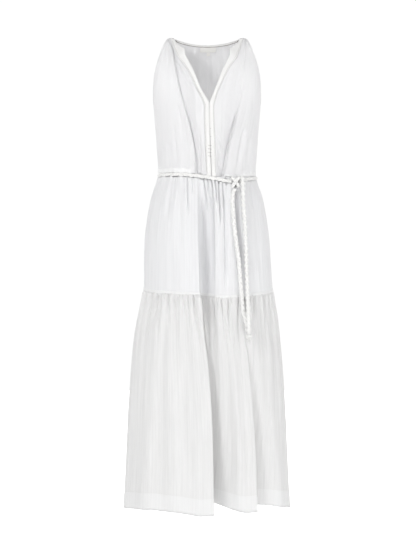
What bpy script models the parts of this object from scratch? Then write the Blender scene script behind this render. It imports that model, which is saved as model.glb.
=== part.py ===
"""Sleeveless cheesecloth maxi dress, hollow and filled out as when worn.

Metres, +Z up. The front faces -Y and +X is on the viewer's right. The origin is
between the tops of the shoulders, where the wearer carries the dress. Every cloth
piece is a wall that is worked out row by row from the short tables below.
"""
import math

import bmesh
import bpy
import numpy as np

# Driving dimensions
WALL = 0.0015
SEAM_GAP = 0.0003
# The bands turn sharply at the shoulder, so their seams are a little wider
BAND_GAP = 0.0006
BINDING_GAP = 0.0012
BAND_PROUD = 0.0005
BAND_WALL = 0.0021
CORD_DIAMETER = 0.0120
CORD_CLEAR = 0.0024
END_KNOT_RADIUS = 0.0070

# Number of rows and columns of cloth, two columns to each gather
FRONT_COLUMNS = 15
BACK_COLUMNS = 12
TIER_ROWS = 10
# Rows of the tier lie closer together near its gathered top
TIER_ROW_CROWDING = 1.35
SKIRT_GATHERS = {"front": 22, "back": 18}
TIER_GATHERS = {"front": 30, "back": 23}

# Half of the bodice front, on the viewer's left. Down the panel from the shoulder:
# where the cloth meets the neck band, the band's free edge, the armhole or side
# edge, how far forward the middle of the chest is, and what the right half adds
# to x because the neck slit is a little off the middle.
FRONT_COLUMN_NAMES = ("down", "neck_x", "neck_z", "free_x", "free_z",
                      "arm_x", "arm_y", "arm_z", "front", "right")
FRONT = (
    (0.000, -0.1010, -0.0030, -0.0910, -0.0060, -0.1150, 0.000, -0.0110, 0.0000, 0.0000),
    (0.020, -0.0955, -0.0230, -0.0830, -0.0210, -0.1210, -0.018, -0.0240, 0.0220, 0.0000),
    (0.040, -0.0885, -0.0440, -0.0730, -0.0320, -0.1280, -0.033, -0.0440, 0.0430, 0.0000),
    (0.062, -0.0810, -0.0640, -0.0625, -0.0410, -0.1350, -0.043, -0.0660, 0.0640, 0.0020),
    (0.076, -0.0725, -0.0755, -0.0605, -0.0560, -0.1385, -0.047, -0.0790, 0.0730, 0.0030),
    (0.090, -0.0620, -0.0875, -0.0505, -0.0775, -0.1420, -0.050, -0.0920, 0.0810, 0.0040),
    (0.117, -0.0455, -0.1165, -0.0345, -0.1110, -0.1465, -0.050, -0.1170, 0.0950, 0.0050),
    (0.158, -0.0265, -0.1580, -0.0175, -0.1535, -0.1495, -0.041, -0.1550, 0.1070, 0.0060),
    (0.184, -0.0125, -0.1860, -0.0030, -0.1800, -0.1500, -0.027, -0.1790, 0.1125, 0.0105),
    (0.196, -0.0080, -0.1985, 0.0030, -0.1900, -0.1500, -0.015, -0.1895, 0.1145, 0.0122),
    (0.202, -0.0065, -0.2040, 0.0055, -0.1970, -0.1500, 0.000, -0.1945, 0.1160, 0.0125),
    (0.222, -0.0065, -0.2220, 0.0058, -0.2220, -0.1485, 0.000, -0.2140, 0.1175, 0.0125),
    (0.285, -0.0050, -0.2850, 0.0075, -0.2850, -0.1435, 0.000, -0.2750, 0.1160, 0.0165),
    (0.397, -0.0005, -0.3970, 0.0115, -0.3970, -0.1355, 0.000, -0.3890, 0.1030, 0.0245),
)
FRONT_LEVELS = (0.0, 0.010, 0.020, 0.031, 0.042, 0.054, 0.065, 0.078, 0.092, 0.112, 0.135,
                0.160, 0.180, 0.193, 0.202, 0.225, 0.255, 0.290, 0.325, 0.352, 0.370,
                0.380, 0.388, 0.397)

# Top edge of the back, from the arm end of the shoulder to the middle of the neck,
# and the free edge of the neck binding above it
BACK_TOP_NAMES = ("along", "x", "y", "z", "free_x", "free_y", "free_z")
BACK_TOP = (
    (0.0, -0.1150, 0.0000, -0.0110, -0.1150, 0.0000, -0.0110),
    (1.0, -0.1030, 0.0000, -0.0036, -0.1030, 0.0000, -0.0036),
    (2.0, -0.0965, 0.0000, -0.0042, -0.0912, 0.0000, -0.0060),
    (3.0, -0.0900, 0.0070, -0.0085, -0.0858, 0.0055, -0.0072),
    (3.8, -0.0830, 0.0130, -0.0118, -0.0800, 0.0117, -0.0085),
    (5.0, -0.0730, 0.0195, -0.0148, -0.0715, 0.0182, -0.0101),
    (7.0, -0.0560, 0.0300, -0.0178, -0.0555, 0.0288, -0.0130),
    (9.4, -0.0300, 0.0435, -0.0204, -0.0300, 0.0423, -0.0155),
    (12.0, 0.0000, 0.0530, -0.0214, 0.0000, 0.0518, -0.0164),
)
# Armhole edge of the back, from the shoulder down to the underarm
BACK_ARM_NAMES = ("down", "x", "y", "z")
BACK_ARM = (
    (0.00, -0.1150, 0.000, -0.0110),
    (0.12, -0.1195, 0.013, -0.0240),
    (0.27, -0.1270, 0.029, -0.0440),
    (0.42, -0.1355, 0.043, -0.0700),
    (0.58, -0.1425, 0.051, -0.1010),
    (0.74, -0.1475, 0.048, -0.1370),
    (0.86, -0.1495, 0.036, -0.1660),
    (0.95, -0.1500, 0.019, -0.1860),
    (1.00, -0.1500, 0.000, -0.1945),
)
# The armhole's roundness fades quickly towards the middle of the back
ARM_FADE = 4.0
BLADE_BULGE = 0.009
# Rings of the back below the underarm: height, half of the width, depth
BACK_RING_NAMES = ("z", "half", "back")
BACK_RINGS = (
    (-0.1945, 0.1500, 0.0960), (-0.2140, 0.1485, 0.0960),
    (-0.2750, 0.1435, 0.0940), (-0.3890, 0.1355, 0.0920),
)
BACK_UPPER = (0.0, 0.06, 0.15, 0.27, 0.40, 0.55, 0.70, 0.83, 0.93, 1.0)
BACK_LOWER = (-0.225, -0.262, -0.302, -0.340, -0.362, -0.373, -0.381, -0.389)

# Big folds of the bodice front. Each has an edge that lies over sunken cloth on
# the side of the placket: down the panel, distance of the edge from the middle,
# and how deep the cloth lies behind it.
LEFT_FOLD = (
    (0.030, 0.0985, 0.002), (0.090, 0.0900, 0.005), (0.160, 0.0760, 0.007),
    (0.215, 0.0605, 0.008), (0.270, 0.0470, 0.009), (0.320, 0.0360, 0.009), (0.397, 0.0300, 0.007),
)
RIGHT_FOLD = (
    (0.110, 0.1050, 0.000), (0.189, 0.0934, 0.004), (0.247, 0.0769, 0.006),
    (0.288, 0.0654, 0.008), (0.339, 0.0540, 0.009), (0.397, 0.0450, 0.008),
)
BODICE_FOLD_SHARP = 0.005
BODICE_FOLD_REACH = 0.050
BODICE_PUCKER = 0.0016
BODICE_PUCKER_TALL = 0.045

# Rings of the skirt and of the gathered tier below it: height at the side seams,
# half of the width, how far the front and the back stand out from the side
# seams, and how much lower the ring is at the middle of the front
RING_COLUMN_NAMES = ("z", "half", "front", "back", "dip")
RINGS = (
    (-0.389, 0.1355, 0.1030, 0.0920, 0.008),
    (-0.414, 0.1430, 0.1095, 0.1005, 0.010),
    (-0.445, 0.1540, 0.1160, 0.1110, 0.012),
    (-0.500, 0.1655, 0.1220, 0.1210, 0.014),
    (-0.570, 0.1745, 0.1260, 0.1290, 0.016),
    (-0.640, 0.1790, 0.1290, 0.1340, 0.018),
    (-0.709, 0.1840, 0.1320, 0.1380, 0.019),
    (-0.735, 0.1875, 0.1350, 0.1420, 0.018),
    (-0.790, 0.1975, 0.1420, 0.1500, 0.016),
    (-0.900, 0.2100, 0.1500, 0.1600, 0.012),
    (-1.020, 0.2185, 0.1570, 0.1680, 0.006),
    (-1.160, 0.2250, 0.1620, 0.1730, 0.001),
    (-1.318, 0.2330, 0.1660, 0.1780, 0.000),
)
WAIST_Z = -0.389
SEAM_Z = -0.709
HEM_Z = -1.318

# Large folds of the skirt front, whose left part lies over the sunken right part:
# height, x of the edge, depth behind it, how far the sunken stretch reaches along
# the cloth, and how far it is tucked back under the edge
FOLD_COLUMN_NAMES = ("z", "x", "depth", "reach", "tuck")
MIDDLE_FOLD = (
    (-0.395, -0.0270, 0.004, 0.045, 0.000),
    (-0.470, -0.0260, 0.014, 0.050, 0.003),
    (-0.600, -0.0230, 0.022, 0.052, 0.005),
    (-0.709, -0.0200, 0.027, 0.055, 0.007),
    (-0.820, -0.0080, 0.040, 0.060, 0.009),
    (-0.930, 0.0040, 0.056, 0.066, 0.010),
    (-1.050, 0.0120, 0.078, 0.072, 0.012),
    (-1.180, 0.0160, 0.100, 0.078, 0.014),
    (-1.318, 0.0175, 0.122, 0.085, 0.016),
)
RIGHT_LOBE = (
    (-0.790, 0.1000, 0.000, 0.050, 0.000),
    (-0.900, 0.1120, 0.010, 0.055, 0.001),
    (-1.000, 0.1220, 0.024, 0.062, 0.004),
    (-1.120, 0.1310, 0.040, 0.072, 0.007),
    (-1.318, 0.1380, 0.058, 0.090, 0.010),
)
FRONT_FOLDS = (MIDDLE_FOLD, RIGHT_LOBE)
FOLD_SHARP = 0.012
# The hem is lifted where the middle fold is deepest
HEM_LIFT = 0.026
# How much the front of the hem rises at an angle from its middle
HEM_RISE = (
    (-90.0, 0.0000), (-66.0, 0.0050), (-41.0, 0.0105), (-20.0, 0.0070), (-5.0, -0.0010),
    (20.0, 0.0040), (38.0, 0.0070), (55.0, 0.0135), (75.0, 0.0080), (90.0, 0.0000),
)

# Soft troughs: which half, height where it starts, place as an angle from the
# middle of the front or back, half of its width, and depth at the hem
TROUGH_COLUMN_NAMES = ("half", "top", "angle", "width", "depth")
TROUGHS = (
    ("front", -0.750, -66.0, 0.040, 0.014),
    ("front", -0.800, -34.0, 0.040, 0.010),
    ("back", -0.400, -48.0, 0.050, 0.034),
    ("back", -0.420, -8.0, 0.045, 0.046),
    ("back", -0.400, 34.0, 0.050, 0.038),
    ("back", -0.700, 68.0, 0.038, 0.020),
)

SKIRT_LEVELS = (-0.389, -0.397, -0.406, -0.418, -0.436, -0.465, -0.510, -0.570, -0.640, -0.709)

# Gathers: depth at the seam that holds them, how far down they fade, and what is
# left of them at the foot of the piece
SKIRT_GATHER = (0.0026, 0.110, 0.0004)
TIER_GATHER = (0.0034, 0.200, 0.0007)

# Height of the belt all round, as an angle from the middle of the front
BELT = (
    (-180.0, -0.3870), (-135.0, -0.3880), (-90.0, -0.3885), (-45.0, -0.3890), (-28.0, -0.3905),
    (-8.0, -0.3960), (4.0, -0.4003), (15.0, -0.4050), (26.0, -0.4095), (34.0, -0.4130),
    (48.0, -0.4040), (64.0, -0.3990), (90.0, -0.3960), (135.0, -0.3890), (180.0, -0.3870),
)
BELT_TURN = 6.5
# The belt presses the cloth in where it lies
PINCH = 0.0105
PINCH_TALL = 0.0130
KNOT_LEFT_ANGLE = 29.1
KNOT_RIGHT_ANGLE = 40.0
KNOT_CENTRE = (0.0785, -0.0975, -0.4120)
KNOT_HALF = (0.0100, 0.0090, 0.0175)

# The belt's two free ends, each as a route from the knot to its own end knot
RIGHT_TAIL = (
    (0.0975, -0.0950, -0.3960), (0.0982, -0.0965, -0.4120), (0.0988, -0.0975, -0.4300),
    (0.0995, -0.1020, -0.4650), (0.1020, -0.1060, -0.5050), (0.1043, -0.1085, -0.5470),
    (0.1060, -0.1105, -0.5900), (0.1073, -0.1120, -0.6310), (0.1090, -0.1140, -0.6740),
    (0.1105, -0.1195, -0.7150), (0.1120, -0.1345, -0.7700), (0.1128, -0.1415, -0.8000),
    (0.1135, -0.1455, -0.8260),
)
LEFT_TAIL = (
    (0.0755, -0.1040, -0.4310), (0.0710, -0.1080, -0.4480), (0.0700, -0.1145, -0.4730),
    (0.0725, -0.1185, -0.5100), (0.0762, -0.1205, -0.5470), (0.0815, -0.1215, -0.5900),
    (0.0871, -0.1220, -0.6310), (0.0905, -0.1230, -0.6740), (0.0938, -0.1250, -0.7150),
    (0.0975, -0.1285, -0.7600), (0.1020, -0.1315, -0.7900), (0.1045, -0.1325, -0.8050),
)
TAIL_STEP = 0.026

# Labels inside the back of the neck: left and right edges, top and foot
LABEL = (-0.0195, 0.0250, -0.0235, -0.0360)
SIZE_TAB = (-0.0010, 0.0085, -0.0364, -0.0460)
LABEL_WALL = 0.0008
LABEL_CLEAR = 0.0009

# Edges whose thickness is kept clear of an axis: rows, columns, axis
ALL = slice(None)
TOP_Y = (0, ALL, 1)
TOP_Z = (0, ALL, 2)
FOOT_Z = (-1, ALL, 2)
SIDES_Y = ((ALL, 0, 1), (ALL, -1, 1))
UNDERARM_ROW = FRONT_LEVELS.index(0.202)
NECK_COLUMN = 2

# Colour and roughness of each material
GAUZE = ("gauze", (0.860, 0.862, 0.870), 0.85)
BAND_CLOTH = ("band_cloth", (0.880, 0.878, 0.862), 0.80)
CORD_COTTON = ("cord_cotton", (0.850, 0.842, 0.812), 0.75)
LABEL_SATIN = ("label_satin", (0.880, 0.880, 0.870), 0.45)


def clear_scene():
    for item in list(bpy.data.objects):
        bpy.data.objects.remove(item, do_unlink=True)


def material(look):
    name, colour, rough = look
    made = bpy.data.materials.get(name)
    if made is None:
        made = bpy.data.materials.new(name)
        made.use_nodes = True
        shader = made.node_tree.nodes["Principled BSDF"]
        shader.inputs["Base Color"].default_value = (*colour, 1.0)
        shader.inputs["Roughness"].default_value = rough
        shader.inputs["Metallic"].default_value = 0.0
    return made


def ease(value):
    """Smooth rise from 0 to 1 while the value goes from 0 to 1."""
    held = np.clip(value, 0.0, 1.0)
    return held * held * (3.0 - 2.0 * held)


def slopes(keys, values):
    """Slope at each key of a curve that never overshoots its table."""
    gaps = np.diff(keys)
    rises = np.diff(values) / gaps
    out = np.zeros(len(keys))
    out[0] = rises[0]
    out[-1] = rises[-1]
    for i in range(1, len(keys) - 1):
        before, after = rises[i - 1], rises[i]
        if before * after > 0.0:
            out[i] = 2.0 * before * after / (before + after)
    return out


def read_curve(keys, values, at):
    """Value of a smooth curve through a table's column."""
    at = min(max(at, keys[0]), keys[-1])
    i = min(int(np.searchsorted(keys, at, side="right")) - 1, len(keys) - 2)
    slope = slopes(keys, values)
    gap = keys[i + 1] - keys[i]
    t = (at - keys[i]) / gap
    start = values[i] * (1 + 2 * t) * (1 - t) ** 2 + slope[i] * gap * t * (1 - t) ** 2
    end = values[i + 1] * t * t * (3 - 2 * t) + slope[i + 1] * gap * t * t * (t - 1)
    return float(start + end)


def read_table(table, names, at, key=0):
    """Row of a table at any key, as a dictionary by column name."""
    grid = np.array(table, dtype=float)
    if grid[0, key] > grid[-1, key]:
        grid = grid[::-1]
    return {name: read_curve(grid[:, key], grid[:, i], at) for i, name in enumerate(names)}


def dome(x, reach):
    return np.sqrt(np.clip(1.0 - (x / reach) ** 2, 0.0, 1.0))


def spread(line, count, weight=None):
    """Evenly spaced points along a fine line, closer where the weight is high."""
    steps = np.linalg.norm(np.diff(line, axis=0), axis=1)
    if weight is not None:
        steps = steps + weight
    run = np.concatenate([[0.0], np.cumsum(steps)])
    wanted = np.linspace(0.0, run[-1], count + 1)
    return np.stack([np.interp(wanted, run, line[:, axis]) for axis in range(3)], axis=1)


def grid_normals(grid):
    """Unit normals of a grid of points, pointing away from the wearer."""
    across = np.gradient(grid, axis=1)
    down = np.gradient(grid, axis=0)
    normal = np.cross(across, down)
    normal /= np.maximum(np.linalg.norm(normal, axis=2, keepdims=True), 1e-9)
    away = grid * np.array([1.0, 1.0, 0.0])
    if np.sum(normal * away) < 0.0:
        normal = -normal
    return normal


def lock(normal, axis):
    """Take one direction out of some normals, so that two edges meet face to face."""
    kept = normal.copy()
    kept[..., axis] = 0.0
    return kept / np.maximum(np.linalg.norm(kept, axis=-1, keepdims=True), 1e-9)


def wall_object(name, grid, look, wall=WALL, proud=0.0, locks=(), normal=None):
    """Closed wall from a grid of points on its outer side.

    Each lock names rows, columns and an axis that the thickness there keeps clear
    of, so that the neighbour across the seam stays one seam gap away.
    """
    normal = grid_normals(grid) if normal is None else normal.copy()
    for rows, columns, axis in locks:
        normal[rows, columns] = lock(normal[rows, columns], axis)
    outer = grid + proud * normal
    inner = outer - wall * normal
    rows, columns = grid.shape[:2]
    points = [tuple(p) for p in outer.reshape(-1, 3)] + [tuple(p) for p in inner.reshape(-1, 3)]
    shift = rows * columns
    faces = []
    for r in range(rows - 1):
        for c in range(columns - 1):
            a = r * columns + c
            quad = (a, a + 1, a + columns + 1, a + columns)
            faces.append(quad)
            faces.append(tuple(i + shift for i in reversed(quad)))
    ring = [c for c in range(columns)]
    ring += [r * columns + columns - 1 for r in range(1, rows)]
    ring += [(rows - 1) * columns + c for c in range(columns - 2, -1, -1)]
    ring += [r * columns for r in range(rows - 2, 0, -1)]
    for i, a in enumerate(ring):
        b = ring[(i + 1) % len(ring)]
        faces.append((b, a, a + shift, b + shift))
    return mesh_object(name, points, faces, look)


def part_seam(line, neighbour, gap=SEAM_GAP):
    """Move the points of an edge half a seam gap towards the next row of points."""
    step = neighbour - line
    return line + step / np.linalg.norm(step, axis=-1, keepdims=True) * gap / 2


def mesh_object(name, points, faces, look):
    mesh = bpy.data.meshes.new(name)
    mesh.from_pydata(points, [], faces)
    work = bmesh.new()
    work.from_mesh(mesh)
    bmesh.ops.remove_doubles(work, verts=work.verts, dist=1e-7)
    bmesh.ops.recalc_face_normals(work, faces=work.faces)
    work.to_mesh(mesh)
    work.free()
    mesh.shade_smooth()
    made = bpy.data.objects.new(name, mesh)
    made.data.materials.append(material(look))
    bpy.context.scene.collection.objects.link(made)
    return made


def belt_height(angle):
    return np.interp(angle, [row[0] for row in BELT], [row[1] for row in BELT])


def pinched(grid):
    """Press the cloth in along the line where the belt lies."""
    made = grid.copy()
    half, front, back = RINGS[0][1:4]
    depth = np.where(made[..., 1] < 0.0, front, back)
    angle = np.degrees(np.arctan2(made[..., 0] / half, -made[..., 1] / depth))
    away = (made[..., 2] - belt_height(angle)) / PINCH_TALL
    amount = PINCH * np.exp(-away ** 2)
    reach = np.linalg.norm(made[..., :2], axis=-1)
    made[..., :2] *= (1.0 - amount / np.maximum(reach, PINCH))[..., None]
    return made


def waist_z(x):
    """Height of the waist seam of the front, lowest at the middle."""
    return WAIST_Z - RINGS[0][4] * dome(x, RINGS[0][1])


def front_fold_depth(side, down, x):
    """How far the bodice front is sunken behind its big fold."""
    table = LEFT_FOLD if side < 0 else RIGHT_FOLD
    row = read_table(table, ("down", "x", "depth"), down)
    inside = row["x"] - np.abs(x)
    reach = min(BODICE_FOLD_REACH, max(row["x"] - 0.030, 0.028))
    rest = 1.0 - ease((inside - BODICE_FOLD_SHARP) / (reach - BODICE_FOLD_SHARP))
    begun = ease(down / table[0][0]) if down < table[0][0] else 1.0
    return row["depth"] * begun * ease(inside / BODICE_FOLD_SHARP) * rest


def pucker(index, height):
    """Small inward waves of the cloth just above the waist."""
    if index % 2 == 0:
        return 0.0
    return BODICE_PUCKER * float(ease(1.0 - height / BODICE_PUCKER_TALL))


def front_level(side, down):
    row = read_table(FRONT, FRONT_COLUMN_NAMES, down)
    for name in ("neck_x", "free_x"):
        row[name] = side * -row[name] + (row["right"] if side > 0 else 0.0)
    row["arm_x"] = side * abs(row["arm_x"])
    return row


def front_y(row, x):
    return row["arm_y"] + (-row["front"] - row["arm_y"]) * dome(x, abs(row["arm_x"]))


def front_row(side, down):
    """One row of a bodice front panel, from its neck or placket edge to its arm edge."""
    row = front_level(side, down)
    start = math.asin(max(-1.0, min(1.0, row["neck_x"] / row["arm_x"])))
    angles = np.linspace(start, math.pi / 2, 241)
    x = row["arm_x"] * np.sin(angles)
    y = front_y(row, x)
    fall = dome(x, abs(row["arm_x"])) / max(float(dome(row["neck_x"], abs(row["arm_x"]))), 1e-6)
    z = row["arm_z"] + (row["neck_z"] - row["arm_z"]) * fall
    last = ease((down - FRONT[-2][0]) / (FRONT[-1][0] - FRONT[-2][0]))
    waist = np.array([float(waist_z(value)) for value in x]) + SEAM_GAP / 2
    z = z + last * (waist - (FRONT[-1][7] + (FRONT[-1][2] - FRONT[-1][7]) * fall))
    sunk = front_fold_depth(side, down, x)
    edge = ease(np.abs(x - row["neck_x"]) / 0.012)
    y = y + sunk * edge - SEAM_GAP / 2
    line = np.stack([x, y, z], axis=1)
    return spread(line, FRONT_COLUMNS, np.abs(np.diff(sunk)) * 3.0)


def band_row(side, down):
    """Points of the neck band, from its free edge up to its seam with the panel."""
    row = front_level(side, down)
    line = []
    for step in (0.0, 0.33, 0.66):
        x = row["free_x"] + (row["neck_x"] - row["free_x"]) * step
        z = row["free_z"] + (row["neck_z"] - row["free_z"]) * step
        if down == FRONT[-1][0]:
            z = float(waist_z(x)) + SEAM_GAP / 2
        line.append((x, float(front_y(row, x)) - SEAM_GAP / 2, z))
    return np.array(line)


def make_front(side, panel_name, band_name):
    """One half of the bodice front, and the folded band along its neck and placket."""
    rows = []
    for down in FRONT_LEVELS:
        line = front_row(side, down)
        for i in range(len(line)):
            line[i, 1] += pucker(i, FRONT[-1][0] - down) * float(dome(line[i, 0], 0.137))
        rows.append(np.vstack([band_row(side, down), line]))
    whole = pinched(np.array(rows))
    whole[:, -1, 1] = np.minimum(whole[:, -1, 1], -SEAM_GAP / 2)
    normal = grid_normals(whole)
    band, band_normal = whole[:, :4].copy(), normal[:, :4]
    panel, panel_normal = whole[:, 3:].copy(), normal[:, 3:]
    band[:, -1] = part_seam(whole[:, 3], whole[:, 2], BAND_GAP)
    panel[:, 0] = part_seam(whole[:, 3], whole[:, 4], BAND_GAP)
    side_seam = (slice(UNDERARM_ROW, None), -1, 1)
    wall_object(panel_name, panel, GAUZE, locks=(TOP_Y, FOOT_Z, side_seam), normal=panel_normal)
    wall_object(band_name, band, BAND_CLOTH, BAND_WALL, BAND_PROUD, (TOP_Y, FOOT_Z), band_normal)


def back_top(column, prefix=""):
    """Point on the top edge of the back, or on the binding's free edge above it."""
    side = -1.0 if column <= BACK_COLUMNS else 1.0
    along = column if column <= BACK_COLUMNS else 2 * BACK_COLUMNS - column
    row = read_table(BACK_TOP, BACK_TOP_NAMES, along)
    x, y, z = (row[prefix + axis] for axis in "xyz")
    return np.array([side * abs(x), y + SEAM_GAP / 2, z])


def back_arm(side, down):
    row = read_table(BACK_ARM, BACK_ARM_NAMES, down)
    return np.array([side * abs(row["x"]), row["y"] + SEAM_GAP / 2, row["z"]])


def back_ring(z):
    row = read_table(BACK_RINGS, BACK_RING_NAMES, z)
    angles = np.linspace(-math.pi / 2, math.pi / 2, 2 * BACK_COLUMNS + 1)
    x = row["half"] * np.sin(angles)
    return np.stack([x, row["back"] * np.cos(angles) + SEAM_GAP / 2, np.full_like(x, z)], axis=1)


def back_grid():
    """Back from the shoulders and neck down to the waist, blended from its edges."""
    columns = 2 * BACK_COLUMNS
    top = np.array([back_top(c) for c in range(columns + 1)])
    low = back_ring(BACK_RINGS[0][0])
    u = np.linspace(0.0, 1.0, columns + 1)[:, None]
    rows = []
    for v in BACK_UPPER:
        line = (1 - v) * top + v * low
        line = (line + (1 - u) ** ARM_FADE * (back_arm(-1, v) - line[0])
                + u ** ARM_FADE * (back_arm(1, v) - line[-1]))
        line[:, 1] += BLADE_BULGE * math.sin(math.pi * v) * np.sin(math.pi * u[:, 0])
        rows.append(line)
    for z in BACK_LOWER:
        rows.append(back_ring(z))
    rows[-1][:, 2] += SEAM_GAP / 2
    grid = pinched(np.array(rows))
    grid[:, (0, -1), 1] = np.maximum(grid[:, (0, -1), 1], SEAM_GAP / 2)
    return grid


def make_back():
    """Back in one piece, and the narrow binding along its neck."""
    grid = back_grid()
    neck = slice(NECK_COLUMN, 2 * BACK_COLUMNS - NECK_COLUMN + 1)
    free = np.array([back_top(c, "free_") for c in range(2 * BACK_COLUMNS + 1)])
    normal = grid_normals(grid)
    bound = np.concatenate([free[None, neck], grid[:2, neck]])
    bound_normal = grid_normals(bound)
    normal[0, neck] = bound_normal[1]
    binding = bound[:2].copy()
    binding[1] = part_seam(bound[1], bound[0], BINDING_GAP)
    panel = grid.copy()
    panel[0, neck] = part_seam(bound[1], bound[2])
    corner = ((0, slice(0, NECK_COLUMN + 1), 1), (0, slice(-NECK_COLUMN - 1, None), 1))
    seams = ((slice(len(BACK_UPPER) - 1, None), 0, 1), (slice(len(BACK_UPPER) - 1, None), -1, 1))
    wall_object("bodice_back", panel, GAUZE, locks=corner + seams + (FOOT_Z,), normal=normal)
    wall_object("neck_binding_back", binding, BAND_CLOTH, BAND_WALL, BAND_PROUD, SIDES_Y,
                bound_normal[:2])


def fold_line(table, z):
    if z > table[0][0]:
        row = read_table(table, FOLD_COLUMN_NAMES, table[0][0])
        row["depth"] = 0.0
        row["tuck"] = 0.0
        return row
    return read_table(table, FOLD_COLUMN_NAMES, z)


def ring_line(half_name, z):
    """Fine line along the front or back half of one ring, with its large folds."""
    ring = read_table(RINGS, RING_COLUMN_NAMES, z)
    angles = np.linspace(-math.pi / 2, math.pi / 2, 721)
    facing = -1.0 if half_name == "front" else 1.0
    depth = ring["front"] if half_name == "front" else ring["back"]
    x = ring["half"] * np.sin(angles)
    y = facing * depth * np.cos(angles)
    height = np.full_like(x, z)
    if half_name == "front":
        height = height - ring["dip"] * np.cos(angles)
    flat = np.stack([x, y, height], axis=1)
    steps = np.linalg.norm(np.diff(flat[:, :2], axis=0), axis=1)
    run = np.concatenate([[0.0], np.cumsum(steps)])
    tangent = np.gradient(flat[:, :2], axis=0)
    tangent /= np.linalg.norm(tangent, axis=1, keepdims=True)
    inward = facing * np.stack([tangent[:, 1], -tangent[:, 0]], axis=1)
    sunk = np.zeros_like(x)
    side = np.zeros_like(x)
    if half_name == "front":
        for table in FRONT_FOLDS:
            fold = fold_line(table, z)
            edge = float(np.interp(fold["x"], x, run))
            q = run - edge
            shape = ease(q / FOLD_SHARP) * (1.0 - ease((q - FOLD_SHARP) / fold["reach"]))
            sunk += fold["depth"] * shape
            side -= fold["tuck"] * shape
        lift = fold_line(MIDDLE_FOLD, z)["depth"] / MIDDLE_FOLD[-1][2]
        near_hem = ease((SEAM_Z - z) / (SEAM_Z - HEM_Z))
        height = height + HEM_LIFT * near_hem * np.clip(sunk / MIDDLE_FOLD[-1][2], 0.0, 1.0) * lift
        rise = np.interp(np.degrees(angles), [r[0] for r in HEM_RISE], [r[1] for r in HEM_RISE])
        height = height + rise * near_hem ** 2
    for row in TROUGHS:
        trough = dict(zip(TROUGH_COLUMN_NAMES, row))
        if trough["half"] != half_name:
            continue
        share = float(ease((trough["top"] - z) / (trough["top"] - HEM_Z)))
        centre = float(np.interp(math.radians(trough["angle"]), angles, run))
        sunk += trough["depth"] * share * np.exp(-((run - centre) / trough["width"]) ** 2)
    plan = flat[:, :2] + inward * sunk[:, None] + tangent * side[:, None]
    plan[:, 1] += facing * SEAM_GAP / 2
    return np.stack([plan[:, 0], plan[:, 1], height], axis=1)


def gathered(line, depth):
    """Push every second point of a row inward, less and less towards its ends."""
    made = line.copy()
    tangent = np.gradient(line[:, :2], axis=0)
    tangent /= np.maximum(np.linalg.norm(tangent, axis=1, keepdims=True), 1e-9)
    facing = 1.0 if line[len(line) // 2, 1] > 0 else -1.0
    inward = facing * np.stack([tangent[:, 1], -tangent[:, 0]], axis=1)
    last = len(line) - 1
    for i in range(1, last, 2):
        unevenness = 0.75 + 0.25 * math.sin(2.3 * i) * math.cos(0.7 * i)
        ends = min(1.0, 6.0 * min(i, last - i) / last)
        made[i, :2] += inward[i] * depth * unevenness * ends
    return made


def gather_depth(law, fallen, length):
    top, fade, rest = law
    return rest + (top - rest) * float(1.0 - ease(fallen / min(fade, length)))


def make_rings(name, half_name, levels, gathers, law):
    """Front or back of the skirt or of the tier, ring by ring."""
    rows = []
    top, foot = levels[0], levels[-1]
    for z in levels:
        line = spread(ring_line(half_name, z), 2 * gathers)
        line = gathered(line, gather_depth(law, top - z, top - foot))
        if z == top:
            line[:, 2] -= SEAM_GAP / 2
        if z == foot and foot > HEM_Z:
            line[:, 2] += SEAM_GAP / 2
        rows.append(line)
    grid = pinched(np.array(rows))
    facing = -1.0 if half_name == "front" else 1.0
    grid[:, (0, -1), 1] = facing * SEAM_GAP / 2
    return wall_object(name, grid, GAUZE, locks=SIDES_Y + (TOP_Z, FOOT_Z))


def tube(name, route, look, diameter=CORD_DIAMETER):
    """Round cord along a route of points, closed at both ends."""
    curve = bpy.data.curves.new(name, "CURVE")
    curve.dimensions = "3D"
    curve.bevel_depth = diameter / 2
    curve.bevel_resolution = 2
    curve.render_resolution_u = 0
    curve.use_fill_caps = True
    curve.twist_mode = "MINIMUM"
    spline = curve.splines.new("POLY")
    spline.points.add(len(route) - 1)
    for point, place in zip(spline.points, route):
        point.co = (*place, 1.0)
    made = bpy.data.objects.new(name, curve)
    curve.materials.append(material(look))
    bpy.context.scene.collection.objects.link(made)
    return made


def belt_point(angle):
    """Middle of the belt cord at an angle from the middle of the front."""
    z = float(belt_height(angle))
    turn = math.radians(angle)
    front = math.cos(turn) >= 0.0
    dip = RINGS[0][4] * max(math.cos(turn), 0.0)
    ring = read_table(RINGS, RING_COLUMN_NAMES, min(z + dip, WAIST_Z))
    depth = ring["front"] if front else ring["back"]
    away = CORD_DIAMETER / 2 + CORD_CLEAR - PINCH
    return (ring["half"] + away) * math.sin(turn), -(depth + away) * math.cos(turn), z


def make_belt():
    angles = []
    angle = KNOT_LEFT_ANGLE
    end = KNOT_RIGHT_ANGLE - 360.0
    count = round((angle - end) / BELT_TURN)
    for i in range(count + 1):
        turned = angle + (end - angle) * i / count
        angles.append(turned if turned > -180.0 else turned + 360.0)
    return tube("belt_loop", [belt_point(value) for value in angles], CORD_COTTON)


def rounded_route(points, step):
    """Points at even steps along a smooth curve through a route."""
    route = np.array(points)
    padded = np.vstack([2 * route[0] - route[1], route, 2 * route[-1] - route[-2]])
    fine = []
    for i in range(1, len(padded) - 2):
        before, a, b, after = padded[i - 1:i + 3]
        for t in np.linspace(0.0, 1.0, 12, endpoint=False):
            fine.append(0.5 * (2 * a + (b - before) * t + (2 * before - 5 * a + 4 * b - after) * t ** 2
                               + (3 * a - before - 3 * b + after) * t ** 3))
    fine.append(route[-1])
    fine = np.array(fine)
    length = float(np.sum(np.linalg.norm(np.diff(fine, axis=0), axis=1)))
    return spread(fine, max(2, round(length / step)))


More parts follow.
